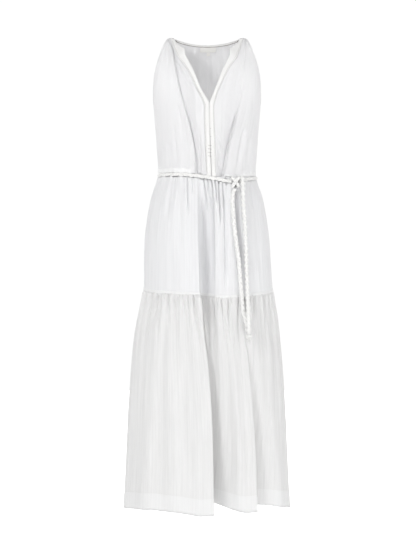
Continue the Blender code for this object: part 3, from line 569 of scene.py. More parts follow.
def floor_material():
    made, tree, shader = new_material("studio_floor", (0.94, 0.94, 0.94), 0.8)
    places = add_node(tree, "ShaderNodeTexCoord").outputs["Object"]
    tint(tree, shader, stretched_noise(tree, places, (6.0, 6.0), 3.0), (0.93,) * 3, (0.95,) * 3)
    shader.inputs["Emission Color"].default_value = (1.0, 1.0, 1.0, 1.0)
    seen = tree.nodes.new("ShaderNodeLightPath").outputs["Is Camera Ray"]
    tree.links.new(seen, shader.inputs["Emission Strength"])
    return made


GAUZE = gauze_material("gauze_crinkled", (0.856, 0.858, 0.871), (0.903, 0.905, 0.915), 1.0)
TIER_GAUZE = gauze_material("gauze_tier", (0.812, 0.810, 0.806), (0.876, 0.874, 0.870), 1.0)
BODICE_GAUZE = gauze_material("gauze_bodice", (0.918, 0.915, 0.927), (0.940, 0.937, 0.949),
                              0.7, 0.42, 0.005)
SEAM_GAUZE = gauze_material("gauze_seam", (0.940, 0.940, 0.942), (0.955, 0.955, 0.957), 0.6)
BAND_GAUZE = gauze_material("gauze_bands", (0.875, 0.872, 0.860), (0.892, 0.889, 0.877), 0.35)
HEM_GAUZE = gauze_material("gauze_hem", (0.852, 0.852, 0.851), (0.894, 0.894, 0.892), 0.8)
CORD = cord_material()
SATIN = satin_material()
THREAD = thread_material("sewing_thread", (0.82, 0.82, 0.81))
GREY_THREAD = thread_material("placket_thread", (0.62, 0.61, 0.60))
# Dark brown thread whose colour is painted shade: it draws the shadow under the back neck binding and,
# thicker, the shadow in the seam gaps at the shoulders
OVERLOCK_PAINTED_SHADE = thread_material("overlock_painted_shade", (0.24, 0.20, 0.19))


# Meshes

def add_object(name, data, place=(0.0, 0.0, 0.0)):
    """New object in the scene."""
    made = bpy.data.objects.new(name, data)
    made.location = place
    bpy.context.scene.collection.objects.link(made)
    return made


def mesh_piece(name, points, faces, uvs, looks, face_looks=None):
    """Object from points, faces and one UV for each point."""
    mesh = bpy.data.meshes.new(name)
    mesh.from_pydata(points.tolist(), [], faces)
    layer = mesh.uv_layers.new(name="UVMap")
    corners = np.zeros(len(mesh.loops), dtype=np.int32)
    mesh.loops.foreach_get("vertex_index", corners)
    layer.data.foreach_set("uv", uvs.astype(np.float32)[corners].ravel())
    for look in looks:
        mesh.materials.append(look)
    if face_looks is not None:
        mesh.polygons.foreach_set("material_index", face_looks.astype(np.int32))
    mesh.validate()
    mesh.shade_smooth()
    return add_object(name, mesh)


def grid_faces(rows, columns, shift, flipped):
    """Quads of a grid of points whose numbers start at a shift."""
    r, c = np.meshgrid(np.arange(rows - 1), np.arange(columns - 1), indexing="ij")
    a = (r * columns + c).ravel() + shift
    quads = np.stack([a, a + 1, a + columns + 1, a + columns], axis=1)
    return quads[:, ::-1] if flipped else quads


def shell(name, outer, normal, thick, uv, looks, second=None):
    """Thin closed cloth from a grid of points on its outer side.

    Where there are two looks, second says which of the grid's faces take the second.
    """
    rows, columns = outer.shape[:2]
    inner = outer - thick * normal
    count = rows * columns
    across = np.cross(outer[1, 1] - outer[1, 0], outer[2, 0] - outer[1, 0])
    turned = np.dot(across, normal[1, 0]) > 0.0
    ring = np.concatenate([
        np.arange(columns), np.arange(1, rows) * columns + columns - 1,
        (rows - 1) * columns + np.arange(columns - 2, -1, -1),
        np.arange(rows - 2, 0, -1) * columns])
    after = np.roll(ring, -1)
    edge = np.stack([after, ring, ring + count, after + count], axis=1)
    if not turned:
        edge = edge[:, ::-1]
    faces = np.concatenate([grid_faces(rows, columns, 0, not turned),
                            grid_faces(rows, columns, count, turned), edge])
    face_looks = None
    if second is not None:
        one = np.broadcast_to(second, (rows - 1, columns - 1)).ravel()
        face_looks = np.concatenate([one, one, np.zeros(len(edge), bool)])
    points = np.concatenate([outer.reshape(-1, 3), inner.reshape(-1, 3)])
    return mesh_piece(name, points, faces.tolist(), np.concatenate([uv.reshape(-1, 2)] * 2),
                      looks, face_looks)


def locked(normal, rows, columns, axis):
    """Keep an edge's thickness clear of an axis, so that two edges meet face to face."""
    part = normal[rows, columns].copy()
    part[..., axis] = 0.0
    normal[rows, columns] = unit(part)


def grid_uv(grid, width, height):
    """Places on the flat cloth, in metres: the columns keep their distance."""
    rows, columns = grid.shape[:2]
    u = np.linspace(0.0, width, columns)
    v = np.linspace(0.0, height, rows)
    return np.stack(np.meshgrid(u, v), axis=-1)


ALL = slice(None)


def dress_piece(piece, node):
    """Let a piece stand for its solid and ride on the dress."""
    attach(piece, "root")
    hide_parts(node)
    return piece


# Cords

def path_length(path):
    return float(np.sum(np.linalg.norm(np.diff(path, axis=0), axis=1)))


def smooth_route(points, step):
    """Points at even steps along a smooth curve through a route."""
    route = np.array(points)
    padded = np.vstack([2 * route[0] - route[1], route, 2 * route[-1] - route[-2]])
    fine = []
    for i in range(1, len(padded) - 2):
        before, a, b, after = padded[i - 1:i + 3]
        for t in np.linspace(0.0, 1.0, 24, endpoint=False):
            fine.append(0.5 * (2 * a + (b - before) * t + (2 * before - 5 * a + 4 * b - after) * t ** 2
                               + (3 * a - before - 3 * b + after) * t ** 3))
    fine = np.array(fine + [route[-1]])
    return spread(fine, max(6, round(path_length(fine) / step)))


def route_frames(path):
    """Two unit vectors across a path at each point, turning as little as they can."""
    heading = unit(np.gradient(path, axis=0))
    first = np.cross(heading[0], (0.0, 0.0, 1.0))
    if np.linalg.norm(first) < 0.2:
        first = np.cross(heading[0], (0.0, 1.0, 0.0))
    sides = [unit(first)]
    for ahead in heading[1:]:
        side = sides[-1] - np.dot(sides[-1], ahead) * ahead
        sides.append(unit(side))
    sides = np.array(sides)
    return sides, np.cross(heading, sides)


# Radius for which the UVs of a tube are laid out
TUBE_UV = 0.003


def tube_mesh(path, side, up, half_side, half_up, around):
    """Points, faces and UVs of a closed tube with an oval section."""
    turns = np.linspace(0.0, 2 * math.pi, around, endpoint=False)
    ring = (np.cos(turns)[None, :, None] * (side * half_side)[:, None, :]
            + np.sin(turns)[None, :, None] * (up * half_up)[:, None, :])
    points = path[:, None, :] + ring
    count = len(path)
    r, c = np.meshgrid(np.arange(count - 1), np.arange(around), indexing="ij")
    a = (r * around + c).ravel()
    b = (r * around + (c + 1) % around).ravel()
    faces = np.stack([a, b, b + around, a + around], axis=1).tolist()
    faces.append(list(range(around - 1, -1, -1)))
    faces.append([(count - 1) * around + i for i in range(around)])
    uv = np.stack(np.broadcast_arrays(turns[None, :] * TUBE_UV, run_along(path)[:, None]), axis=-1)
    return points.reshape(-1, 3), faces, uv.reshape(-1, 2)


def thread_tube(line, half_thick, around):
    """Round tube along a line, of one thickness or of one for each of its points."""
    side, up = route_frames(line)
    return tube_mesh(line, side, up, half_thick, half_thick, around)


def joined(parts):
    """One list of points, faces and UVs from several."""
    points, faces, uvs, shift = [], [], [], 0
    for some_points, some_faces, some_uvs in parts:
        points.append(some_points)
        uvs.append(some_uvs)
        faces += [[i + shift for i in face] for face in some_faces]
        shift += len(some_points)
    return np.concatenate(points), faces, np.concatenate(uvs)


def cord_piece(name, parts, node):
    """Piece of braided cord that stands for its solid."""
    return dress_piece(mesh_piece(name, *joined(parts), [CORD]), node)


def sewn_piece(name, parts, look):
    """Stitches, which ride on the dress and stand for no solid."""
    piece = mesh_piece(name, *joined(parts), [look])
    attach(piece, "root")


# Strands that wind each way, length of one turn, and the braid's sizes as shares of
# the cord's diameter: core, middle of a strand, its swing in and out, and its halves
BRAID_STRANDS = 2
BRAID_LAY = 0.0300
BRAID_CORE = 0.26
BRAID_MIDDLE = 0.300
BRAID_SWING = 0.085
BRAID_HALF_THICK = 0.150
BRAID_HALF_WIDE = 0.255


def braid_parts(path, diameter=CORD_DIAMETER, lay=BRAID_LAY):
    """Round braid: half of the strands wind each way, over two and under two."""
    side, up = route_frames(path)
    turn = 2 * math.pi * run_along(path) / lay
    parts = [thread_tube(path, BRAID_CORE * diameter, 10)]
    for way in (1.0, -1.0):
        for i in range(BRAID_STRANDS):
            angle = way * turn + 2 * math.pi * i / BRAID_STRANDS
            outward = np.cos(angle)[:, None] * side + np.sin(angle)[:, None] * up
            swing = way * (BRAID_SWING * diameter) * np.cos(2 * turn + math.pi * i)
            strand = path + outward * (BRAID_MIDDLE * diameter + swing)[:, None]
            across = unit(np.cross(outward, unit(np.gradient(strand, axis=0))))
            parts.append(tube_mesh(strand, across, outward, BRAID_HALF_WIDE * diameter,
                                   BRAID_HALF_THICK * diameter, 8))
    return parts


def belt_point(angle):
    """Middle of the belt cord at an angle from the middle of the front."""
    z = float(belt_height(angle))
    turn = math.radians(angle)
    dip = WAIST_RING["dip"] * max(math.cos(turn), 0.0)
    ring = read_row(RINGS, RING_NAMES, min(z + dip, WAIST_Z))
    depth = ring["front"] if math.cos(turn) >= 0.0 else ring["back"]
    away = CORD_DIAMETER / 2 + CORD_CLEAR - BELT_PINCH
    return (ring["half"] + away) * math.sin(turn), -(depth + away) * math.cos(turn), z


BELT_STEPS = 90


def make_belt_loop():
    """Belt from the left of its tie, round the back, to the right of its tie."""
    end = KNOT_RIGHT_ANGLE - 360.0
    turned = KNOT_LEFT_ANGLE + (end - KNOT_LEFT_ANGLE) * np.arange(BELT_STEPS + 1) / BELT_STEPS
    angles = np.where(turned > -180.0, turned, turned + 360.0)
    path = smooth_route([belt_point(angle) for angle in angles], 0.0027)
    cord_piece("cord_belt_loop", braid_parts(path), "belt_loop")


# The tie's turns reach this far across, in depth and in height; each has its lean, and
# how far its front stands out over the other's
KNOT_REACH = (0.0085, 0.0042, 0.0118)
KNOT_TURNS = ((-1.0, 0.0), (1.0, 0.0032))
KNOT_CORD = 0.0106
KNOT_LAY = 0.026


def turn_route(lean, front_out):
    """Closed turn of cord whose front crosses from one lower corner to the other top."""
    points = []
    for t in np.linspace(0.0, 2 * math.pi, 20):
        across = lean * KNOT_REACH[0] * math.sin(t)
        height = KNOT_REACH[2] * math.sin(t)
        depth = -KNOT_REACH[1] * math.cos(t) - (front_out if math.cos(t) > 0 else 0.0) * math.cos(t)
        points.append((KNOT_CENTRE[0] + across, KNOT_CENTRE[1] + depth, KNOT_CENTRE[2] + height))
    return points


def make_belt_knot():
    parts = []
    for lean, front_out in KNOT_TURNS:
        parts += braid_parts(smooth_route(turn_route(lean, front_out), 0.0012), KNOT_CORD, KNOT_LAY)
    cord_piece("cord_belt_knot", parts, "belt_knot")


# Each end knot has two turns, with a tilt and a start, and a frayed tip below them
END_KNOT_RADIUS = 0.0070
END_KNOT_RING = 0.0052
END_KNOT_RISE = 0.0060
END_KNOT_TURNS = ((0.35, 0.0), (-0.35, 1.5))
END_KNOT_STRAND = 0.0074
END_KNOT_LAY = 0.0180
FRAY_STRANDS = 26
FRAY_LONG = (0.005, 0.009)
FRAY_LEAN = (0.1, 0.75)
FRAY_BELOW = 0.0035
FRAY_OUT = 0.0022
FRAY_THICK = 0.00042


def make_end_knot(name, node, path):
    """Small knot at the end of the cord, with a short frayed tip below it."""
    heading = unit(path[-1] - path[-3])
    side, up = (vectors[-1] for vectors in route_frames(path))
    centre = path[-1] + heading * END_KNOT_RADIUS
    parts = []
    for tilt, first in END_KNOT_TURNS:
        turns = np.linspace(first, first + 2 * math.pi, 40)
        ring = (centre + END_KNOT_RING * (np.cos(turns)[:, None] * side + np.sin(turns)[:, None] * up)
                + (tilt * END_KNOT_RISE * np.cos(turns + 0.6))[:, None] * heading)
        parts += braid_parts(ring, END_KNOT_STRAND, END_KNOT_LAY)
    random = np.random.default_rng(len(name))
    steps = np.linspace(0.0, 1.0, 6)[:, None]
    for _ in range(FRAY_STRANDS):
        turn = random.uniform(0.0, 2 * math.pi)
        lean = random.uniform(*FRAY_LEAN)
        out = math.cos(turn) * side + math.sin(turn) * up
        long = random.uniform(*FRAY_LONG)
        start = centre + heading * FRAY_BELOW + out * FRAY_OUT
        line = start + heading * long * steps + out * lean * long * steps ** 1.6
        parts.append(thread_tube(line, FRAY_THICK * (1.0 - 0.6 * steps), 5))
    return cord_piece(name, parts, node)


def make_tail(hand, route):
    """One free end of the belt, which hangs down the front of the skirt."""
    path = smooth_route(route, 0.0020)
    piece = cord_piece("cord_tail_" + hand, braid_parts(path), "belt_tail_" + hand)
    knot = make_end_knot("cord_end_" + hand, "tail_knot_" + hand, path)


# Stitches

STITCH_LONG = 0.0026
STITCH_PITCH = 0.0038
THREAD_THICK = 0.00045
# Height of a stitch's start, middle and end above the cloth, in thicknesses
STITCH_LIFT = np.array([[0.1], [0.7], [0.1]])


def make_stitches(name, lines, look=THREAD):
    """Rows of small stitches that lie on the cloth; each line is points and normals."""
    parts = []
    for points, normals in lines:
        run = run_along(points)
        for start in np.arange(STITCH_PITCH, run[-1] - STITCH_PITCH, STITCH_PITCH):
            at = np.array([start, start + STITCH_LONG / 2, start + STITCH_LONG])
            lift = points_at(normals, run, at) * (THREAD_THICK * STITCH_LIFT)
            parts.append(thread_tube(points_at(points, run, at) + lift, THREAD_THICK, 4))
    sewn_piece(name, parts, look)


def line_beside(points, normals, distance, wanted):
    """Points and normals at one distance from an edge, one in each row of a grid."""
    line, lift = [], []
    for places, directions, far in zip(points, normals, distance):
        order = np.argsort(far)
        line.append(points_at(places[order], far[order], [wanted])[0])
        lift.append(points_at(directions[order], far[order], [wanted])[0])
    return np.array(line), unit(np.array(lift))


# Cloth of the bodice

def front_fold_depth(side, down, x):
    """How far the bodice front is sunken behind its big fold."""
    table = LEFT_FOLD if side < 0 else RIGHT_FOLD
    row = read_table(table, BODICE_FOLD_NAMES, down)
    inside = row["x"] - np.abs(x)
    reach = np.clip(row["x"] - 0.030, 0.028, BODICE_FOLD_REACH)
    rest = 1.0 - ease((inside - BODICE_FOLD_SHARP) / (reach - BODICE_FOLD_SHARP))
    begun = ease(down / table[0][0])
    groove = FOLD_GROOVE[side] * np.exp(-((inside - BODICE_FOLD_SHARP) / FOLD_GROOVE_WIDTH) ** 2)
    held = np.minimum(row["depth"] / 0.010, 1.0) ** 2
    return begun * (row["depth"] * ease(inside / BODICE_FOLD_SHARP) * rest + groove * held)


def front_level(side, down):
    """Edges and depth of one half of the front, at a distance down from the shoulder."""
    row = read_row(FRONT, FRONT_NAMES, down)
    for name in ("neck_x", "free_x"):
        row[name] = side * -row[name] + (row["right"] if side > 0 else 0.0)
    row["arm_x"] = side * abs(row["arm_x"])
    return row


def front_y(row, x):
    return row["arm_y"] + (-row["front"] - row["arm_y"]) * dome(x, abs(row["arm_x"]))


def waist_z(x):
    return WAIST_Z - WAIST_RING["dip"] * dome(x, WAIST_RING["half"])


def near_waist(down):
    """How far a row has turned from its own heights to those of the waist."""
    return ease((down - FRONT[-2][0]) / (FRONT[-1][0] - FRONT[-2][0]))


def front_row(side, down):
    """One row of a bodice front panel, from its neck or placket edge to its arm edge."""
    row = front_level(side, down)
    start = math.asin(max(-1.0, min(1.0, row["neck_x"] / row["arm_x"])))
    angles = np.linspace(start, math.pi / 2, 601)
    x = row["arm_x"] * np.sin(angles)
    y = front_y(row, x)
    fall = dome(x, abs(row["arm_x"])) / max(float(dome(row["neck_x"], abs(row["arm_x"]))), 1e-6)
    z = row["arm_z"] + (row["neck_z"] - row["arm_z"]) * fall
    own = FRONT_FOOT["arm_z"] + (FRONT_FOOT["neck_z"] - FRONT_FOOT["arm_z"]) * fall
    z = z + near_waist(down) * (waist_z(x) - own)
    sunk = front_fold_depth(side, down, x)
    edge = ease(np.abs(x - row["neck_x"]) / (0.003 + 0.009 * ease((down - 0.04) / 0.05)))
    line = np.stack([x, y + sunk * edge, z], axis=1)
    return spread(line, BODICE_COLUMNS, np.abs(np.diff(sunk)) * 3.0)


def band_row(side, down):
    """Points across the neck band, from its free edge to its seam with the panel."""
    row = front_level(side, down)
    step = np.linspace(0.0, 1.0, BAND_COLUMNS + 1)
    x = row["free_x"] + (row["neck_x"] - row["free_x"]) * step
    z = row["free_z"] + (row["neck_z"] - row["free_z"]) * step
    z = z + near_waist(down) * (waist_z(x) - FRONT_FOOT["neck_z"])
    return np.stack([x, front_y(row, x), z], axis=1)


# Rows each way and rounds over which small kinks are taken out of the bodice front
SMOOTH_ROWS = 7
SMOOTH_ROUNDS = 3


def smoothed_down(grid):
    """Take small kinks out of the columns of a grid, but leave its edges alone."""
    made = grid.copy()
    rows = np.arange(len(grid))[:, None]
    columns = np.arange(grid.shape[1])[None, :]
    free = ease((columns - BAND_COLUMNS) / 10.0) * ease((grid.shape[1] - 1 - columns) / 10.0)
    free = (free * ease(rows / 14.0) * ease((len(grid) - 1 - rows) / 14.0))[..., None]
    window = 2 * SMOOTH_ROWS + 1
    for _ in range(SMOOTH_ROUNDS):
        held = np.pad(made, ((SMOOTH_ROWS, SMOOTH_ROWS), (0, 0), (0, 0)), mode="edge")
        mean = sum(held[i:i + len(grid)] for i in range(window)) / window
        made = made + free * (mean - made)
    return made


def row_distance(grid, from_start):
    """Distance of each point from one end of its row, along the row."""
    steps = np.linalg.norm(np.diff(grid, axis=1), axis=2)
    run = np.concatenate([np.zeros((grid.shape[0], 1)), np.cumsum(steps, axis=1)], axis=1)
    return run if from_start else run[:, -1:] - run


ARM_HEM_WIDE = 0.0060
ARM_HEM_HIGH = 0.0005
ARM_HEM_STEP = 0.0012
ARM_STITCH = 0.0050
# Ditch in the panel beside its neck band
SEAM_DITCH = 0.0015
SEAM_DITCH_WIDE = 0.0022
# Casing above the belt: its middle and half of its gap at the front, in degrees, how
# fast it begins there, its height off the cloth and how far it reaches up
CASING_MIDDLE = 3.0
CASING_GAP = 19.0
CASING_BEGINS = 5.0
CASING_HIGH = 0.0015
CASING_TALL = 0.0170
CASING_STEP = 0.0018


def arm_hem(distance):
    """Height of the turned hem along an armhole, with its own soft step."""
    return ARM_HEM_HIGH * (1.0 - ease((distance - ARM_HEM_WIDE) / ARM_HEM_STEP))


def casing(grid):
    """Height of the stitched casing just above the belt."""
    angle, above = from_belt(grid, WAIST_RING["front"])
    sides = ease((np.abs(angle - CASING_MIDDLE) - CASING_GAP) / CASING_BEGINS)
    begun = ease((above - PINCH_ABOVE) / PINCH_STEEP)
    return CASING_HIGH * sides * begun * (1.0 - ease((above - CASING_TALL) / CASING_STEP))


def casing_faces(grid):
    """Which faces of a grid belong to the casing, which is sewn of doubled cloth."""
    raised = casing(grid) > 0.4 * CASING_HIGH
    return raised[:-1, :-1] & raised[1:, 1:]


def make_front(hand, side, creases, seed):
    """One half of the bodice front, and the folded band along its neck and placket."""
    levels = FRONT_FOOT["down"] * np.linspace(0.0, 1.0, BODICE_ROWS + 1)
    panel = np.array([front_row(side, down) for down in levels])
    band = np.array([band_row(side, down) for down in levels])
    whole = pinched(smoothed_down(np.concatenate([band[:, :-1], panel], axis=1)))
    normal = grid_normals(whole)
    band, band_normal = whole[:, :BAND_COLUMNS + 1].copy(), normal[:, :BAND_COLUMNS + 1].copy()
    panel, panel_normal = whole[:, BAND_COLUMNS:].copy(), normal[:, BAND_COLUMNS:].copy()
    uv = grid_uv(panel, 0.24, FRONT_FOOT["down"])
    neck = row_distance(panel, True)
    arm = row_distance(panel, False)
    above = np.broadcast_to((levels[-1] - levels)[:, None], neck.shape)
    fall = np.broadcast_to(levels[:, None], neck.shape)
    across = np.broadcast_to(np.linspace(0.0, 1.0, panel.shape[1]), neck.shape)
    inward = crease_depth(panel[..., 0], panel[..., 2], creases)
    inward += gathers(across, above, *WAIST_GATHERS["front"], seed + 11) * ease(above / 0.006)
    inward += gathers(across, fall, *TOP_GATHERS["front"], seed + 12) * ease(fall / 0.005)
    calm = ease(neck / 0.006) * ease(arm / 0.008) * ease(above / 0.004)
    outward = crinkle(uv[..., 0], uv[..., 1], seed) * calm
    outward -= inward * ease(neck / 0.010) * ease(arm / 0.012)
    outward += casing(panel) - SEAM_DITCH * np.exp(-(neck / SEAM_DITCH_WIDE) ** 2)
    outward += np.where(fall < UNDERARM, arm_hem(arm), 0.0)
    placed = panel + panel_normal * outward[..., None]
    side_seam = levels >= UNDERARM
    placed[side_seam, -1, 1] = 0.0
    final = grid_normals(placed)
    locked(final, 0, ALL, 1)
    locked(final, -1, ALL, 2)
    locked(final, side_seam, -1, 1)
    piece = shell("cloth_bodice_" + hand, placed, final, CLOTH, uv, [BODICE_GAUZE, SEAM_GAUZE],
                  casing_faces(panel))
    dress_piece(piece, "bodice_front_" + hand)
    open_rows = levels < UNDERARM - 0.004
    hem = line_beside(placed[open_rows], final[open_rows],
                      row_distance(placed, False)[open_rows], ARM_STITCH)
    make_stitches("stitches_bodice_" + hand, [hem])
    make_band(hand, band, band_normal, levels)


BAND_GROOVES = (0.22, 0.78)
BAND_GROOVE_DEEP = 0.00035
BAND_UNEVEN = 0.00022


def make_band(hand, band, normal, levels):
    """Folded band with rounded edges and a shallow stitched line near its seam."""
    step = np.linspace(0.0, 1.0, band.shape[1])[None, :]
    round_edge = np.sqrt(np.clip(1.0 - (2.0 * step - 1.0) ** 6, 0.0, 1.0))
    down, across = np.broadcast_arrays(levels[:, None], step)
    outward = BAND_PROUD * round_edge + BAND_UNEVEN * noise(down, across, 0.007, 0.4, 5)
    for place in BAND_GROOVES:
        outward -= BAND_GROOVE_DEEP * np.exp(-((step - place) / 0.06) ** 2)
    placed = band + normal * outward[..., None]
    uv = grid_uv(band, 0.010, levels[-1])
    locked(normal, 0, ALL, 1)
    locked(normal, -1, ALL, 2)
    piece = shell("band_neck_" + hand, placed, normal, BAND_CLOTH_THICK, uv, [BAND_GAUZE])
    dress_piece(piece, "neck_band_" + hand)
    seam_side = BAND_COLUMNS - 2
    line = (placed[3:-3, seam_side], normal[3:-3, seam_side])
    make_stitches("stitches_neck_" + hand, [line], GREY_THREAD)


def back_line(names, along):
    """Points on the top edge of the back, mirrored about its middle."""
    side = np.where(along <= BACK_HALF, -1.0, 1.0)
    mirrored = np.where(along <= BACK_HALF, along, 2 * BACK_HALF - along)
    row = read_table(BACK_TOP, BACK_TOP_NAMES, mirrored)
    x, y, z = (row[name] for name in names)
    return np.stack([side * np.abs(x), y, z], axis=1)


def back_grid(along):
    """Back from the shoulders and neck down to the waist, blended from its edges."""
    top = back_line(("x", "y", "z"), along)
    u = (along / (2 * BACK_HALF))[:, None]
    angles = -math.pi / 2 + math.pi * u[:, 0]

    def ring(z):
        row = read_table(BACK_RINGS, BACK_RING_NAMES, z)
        x = row["half"] * np.sin(angles)
        return np.stack([x, row["back"] * np.cos(angles), np.full_like(x, z)], axis=1)

    low = ring(BACK_RINGS[0][0])
    rows = []
    for v in np.linspace(0.0, 1.0, BACK_UPPER_ROWS + 1):
        line = (1 - v) * top + v * low
        arm = read_row(BACK_ARM, BACK_ARM_NAMES, v)
        left = np.array([arm["x"], arm["y"], arm["z"]])
        right = left * np.array([-1.0, 1.0, 1.0])
        line = line + (1 - u) ** ARM_FADE * (left - line[0]) + u ** ARM_FADE * (right - line[-1])
        line[:, 1] += BLADE_BULGE * math.sin(math.pi * v) * np.sin(math.pi * u[:, 0])
        rows.append(line)
    for z in np.linspace(BACK_RINGS[0][0], WAIST_Z, BACK_LOWER_ROWS + 1)[1:]:
        rows.append(ring(z))
    return np.array(rows)


BACK_CREASES = (
    (-0.070, -0.030, -0.060, -0.150, 0.000, 0.0060, 0.0022, 0.0),
    (0.045, -0.030, 0.058, -0.190, 0.000, 0.0090, 0.0030, 0.0),
    (0.012, -0.030, 0.018, -0.130, 0.000, 0.0070, 0.0022, 0.0),
    (-0.030, -0.030, -0.036, -0.110, 0.000, 0.0060, 0.0020, 0.0),
    (-0.055, -0.240, -0.048, -0.385, 0.003, 0.0060, 0.0040, 1.0),
    (0.060, -0.230, 0.050, -0.385, -0.003, 0.0065, 0.0042, -1.0),
    (0.015, -0.280, 0.010, -0.388, 0.000, 0.0050, 0.0030, 0.0),
    (-0.100, -0.270, -0.090, -0.388, 0.000, 0.0060, 0.0030, 0.0),
    (0.105, -0.280, 0.094, -0.388, 0.000, 0.0060, 0.0030, 0.0),
)

# Groove under the back of the neck, and half the thickness of the overlocked edge that
# shows inside it, along its middle and at the shoulders; its dark colour is painted shade
# under the binding, and its thick ends are painted shadow in the shoulder seams
NECK_GROOVE = 0.0012
OVERLOCK_SHADE_THIN = 0.0006
OVERLOCK_SHADE_THICK = 0.0016


def make_back():
    """Back of the bodice in one piece."""
    along = np.linspace(0.0, 2 * BACK_HALF, BACK_COLUMNS + 1)
    grid = pinched(back_grid(along))
    grid[BACK_UPPER_ROWS:, (0, -1), 1] = 0.0
    normal = grid_normals(grid)
    uv = grid_uv(grid, 0.42, 0.385)
    left, right = row_distance(grid, True), row_distance(grid, False)
    arm = np.minimum(left, right)
    fall = uv[..., 1]
    above = grid[..., 2] - WAIST_Z
    across = uv[..., 0] / uv[..., 0].max()
    inward = crease_depth(grid[..., 0], grid[..., 2], BACK_CREASES)
    inward += gathers(across, above, *WAIST_GATHERS["back"], 31) * ease(above / 0.006)
    inward += gathers(across, fall, *TOP_GATHERS["back"], 32) * ease(fall / 0.006)
    calm = ease(fall / 0.005) * ease(arm / 0.008) * ease(above / 0.004)
    outward = crinkle(uv[..., 0], uv[..., 1], 30) * calm - inward * ease(arm / 0.014)
    outward += NECK_GROOVE * np.exp(-(fall / 0.0016) ** 2)
    open_edge = np.arange(len(grid))[:, None] < BACK_UPPER_ROWS
    outward += np.where(open_edge, arm_hem(arm), 0.0) + casing(grid)
    placed = grid + normal * outward[..., None]
    placed[BACK_UPPER_ROWS:, (0, -1), 1] = 0.0
    final = grid_normals(placed)
    shoulder = along <= NECK_START
    locked(final, 0, shoulder | shoulder[::-1], 1)
    locked(final, slice(BACK_UPPER_ROWS, None), 0, 1)
    locked(final, slice(BACK_UPPER_ROWS, None), -1, 1)
    locked(final, -1, ALL, 2)
    piece = shell("cloth_bodice_back", placed, final, CLOTH, uv, [BODICE_GAUZE, SEAM_GAUZE],
                  casing_faces(grid))
    dress_piece(piece, "bodice_back")
    arm_rows = slice(2, BACK_UPPER_ROWS - 1)
    make_stitches("stitches_arms_back", [
        line_beside(placed[arm_rows], final[arm_rows], row_distance(placed, start)[arm_rows], ARM_STITCH)
        for start in (True, False)])


def make_binding():
    """Narrow binding along the back of the neck, and the overlocked edge inside it, coloured dark as
    painted shade under the binding.
    """
    neck = np.linspace(NECK_START, 2 * BACK_HALF - NECK_START, 221)
    seam = back_line(("x", "y", "z"), neck)
    free = back_line(("free_x", "free_y", "free_z"), neck)
    step = np.linspace(0.0, 1.0, 9)[:, None, None]
    binding = free[None] * (1 - step) + seam[None] * step
    under = np.concatenate([binding, back_grid(neck)[None, 1]], axis=0)
    outer = grid_normals(under)[:-1]
    swell = BAND_PROUD * np.sqrt(np.clip(1.0 - (2.0 * step - 1.0) ** 4, 0.0, 1.0))
    piece = shell("band_neck_back", binding + outer * swell, outer, BAND_CLOTH_THICK,
                  grid_uv(binding, 0.26, 0.006), [BAND_GAUZE])
    dress_piece(piece, "neck_binding_back")
    # The dark tube along the seam is painted shade under the binding's lower edge, thicker at the
    # shoulders where it paints the shadow in the seam gaps
    line = seam - outer[-1] * (BAND_CLOTH_THICK + 0.0004)
    ends = np.minimum(neck - NECK_START, neck[::-1] - NECK_START)[:, None]
    thick = OVERLOCK_SHADE_THIN + (OVERLOCK_SHADE_THICK - OVERLOCK_SHADE_THIN) * (1.0 - ease((ends - 0.6) / 1.2))
    sewn_piece("stitches_neck_back_painted_shade", [thread_tube(line, thick, 6)], OVERLOCK_PAINTED_SHADE)


# Cloth of the skirt and the tier

def fold_line(table, z):
    """One large fold at a height; above its table it has no depth."""
    row = read_row(table, FOLD_NAMES, z)
    if z > table[0][0]:
        row["depth"] = 0.0
        row["tuck"] = 0.0
    return row


# How much higher the tier seam runs than its ring, by x, and how much narrower the
# left side is there
SEAM_TILT = ((-0.184, 0.0040), (-0.125, 0.0075), (-0.070, 0.0085), (-0.020, 0.0085),
             (0.015, 0.0035), (0.050, -0.0010), (0.120, 0.0010), (0.184, 0.0000))
SEAM_TILT_REACH = 0.080
LEFT_TRIM = 0.0070
# Points of one fine half ring
RING_FINE = 1441


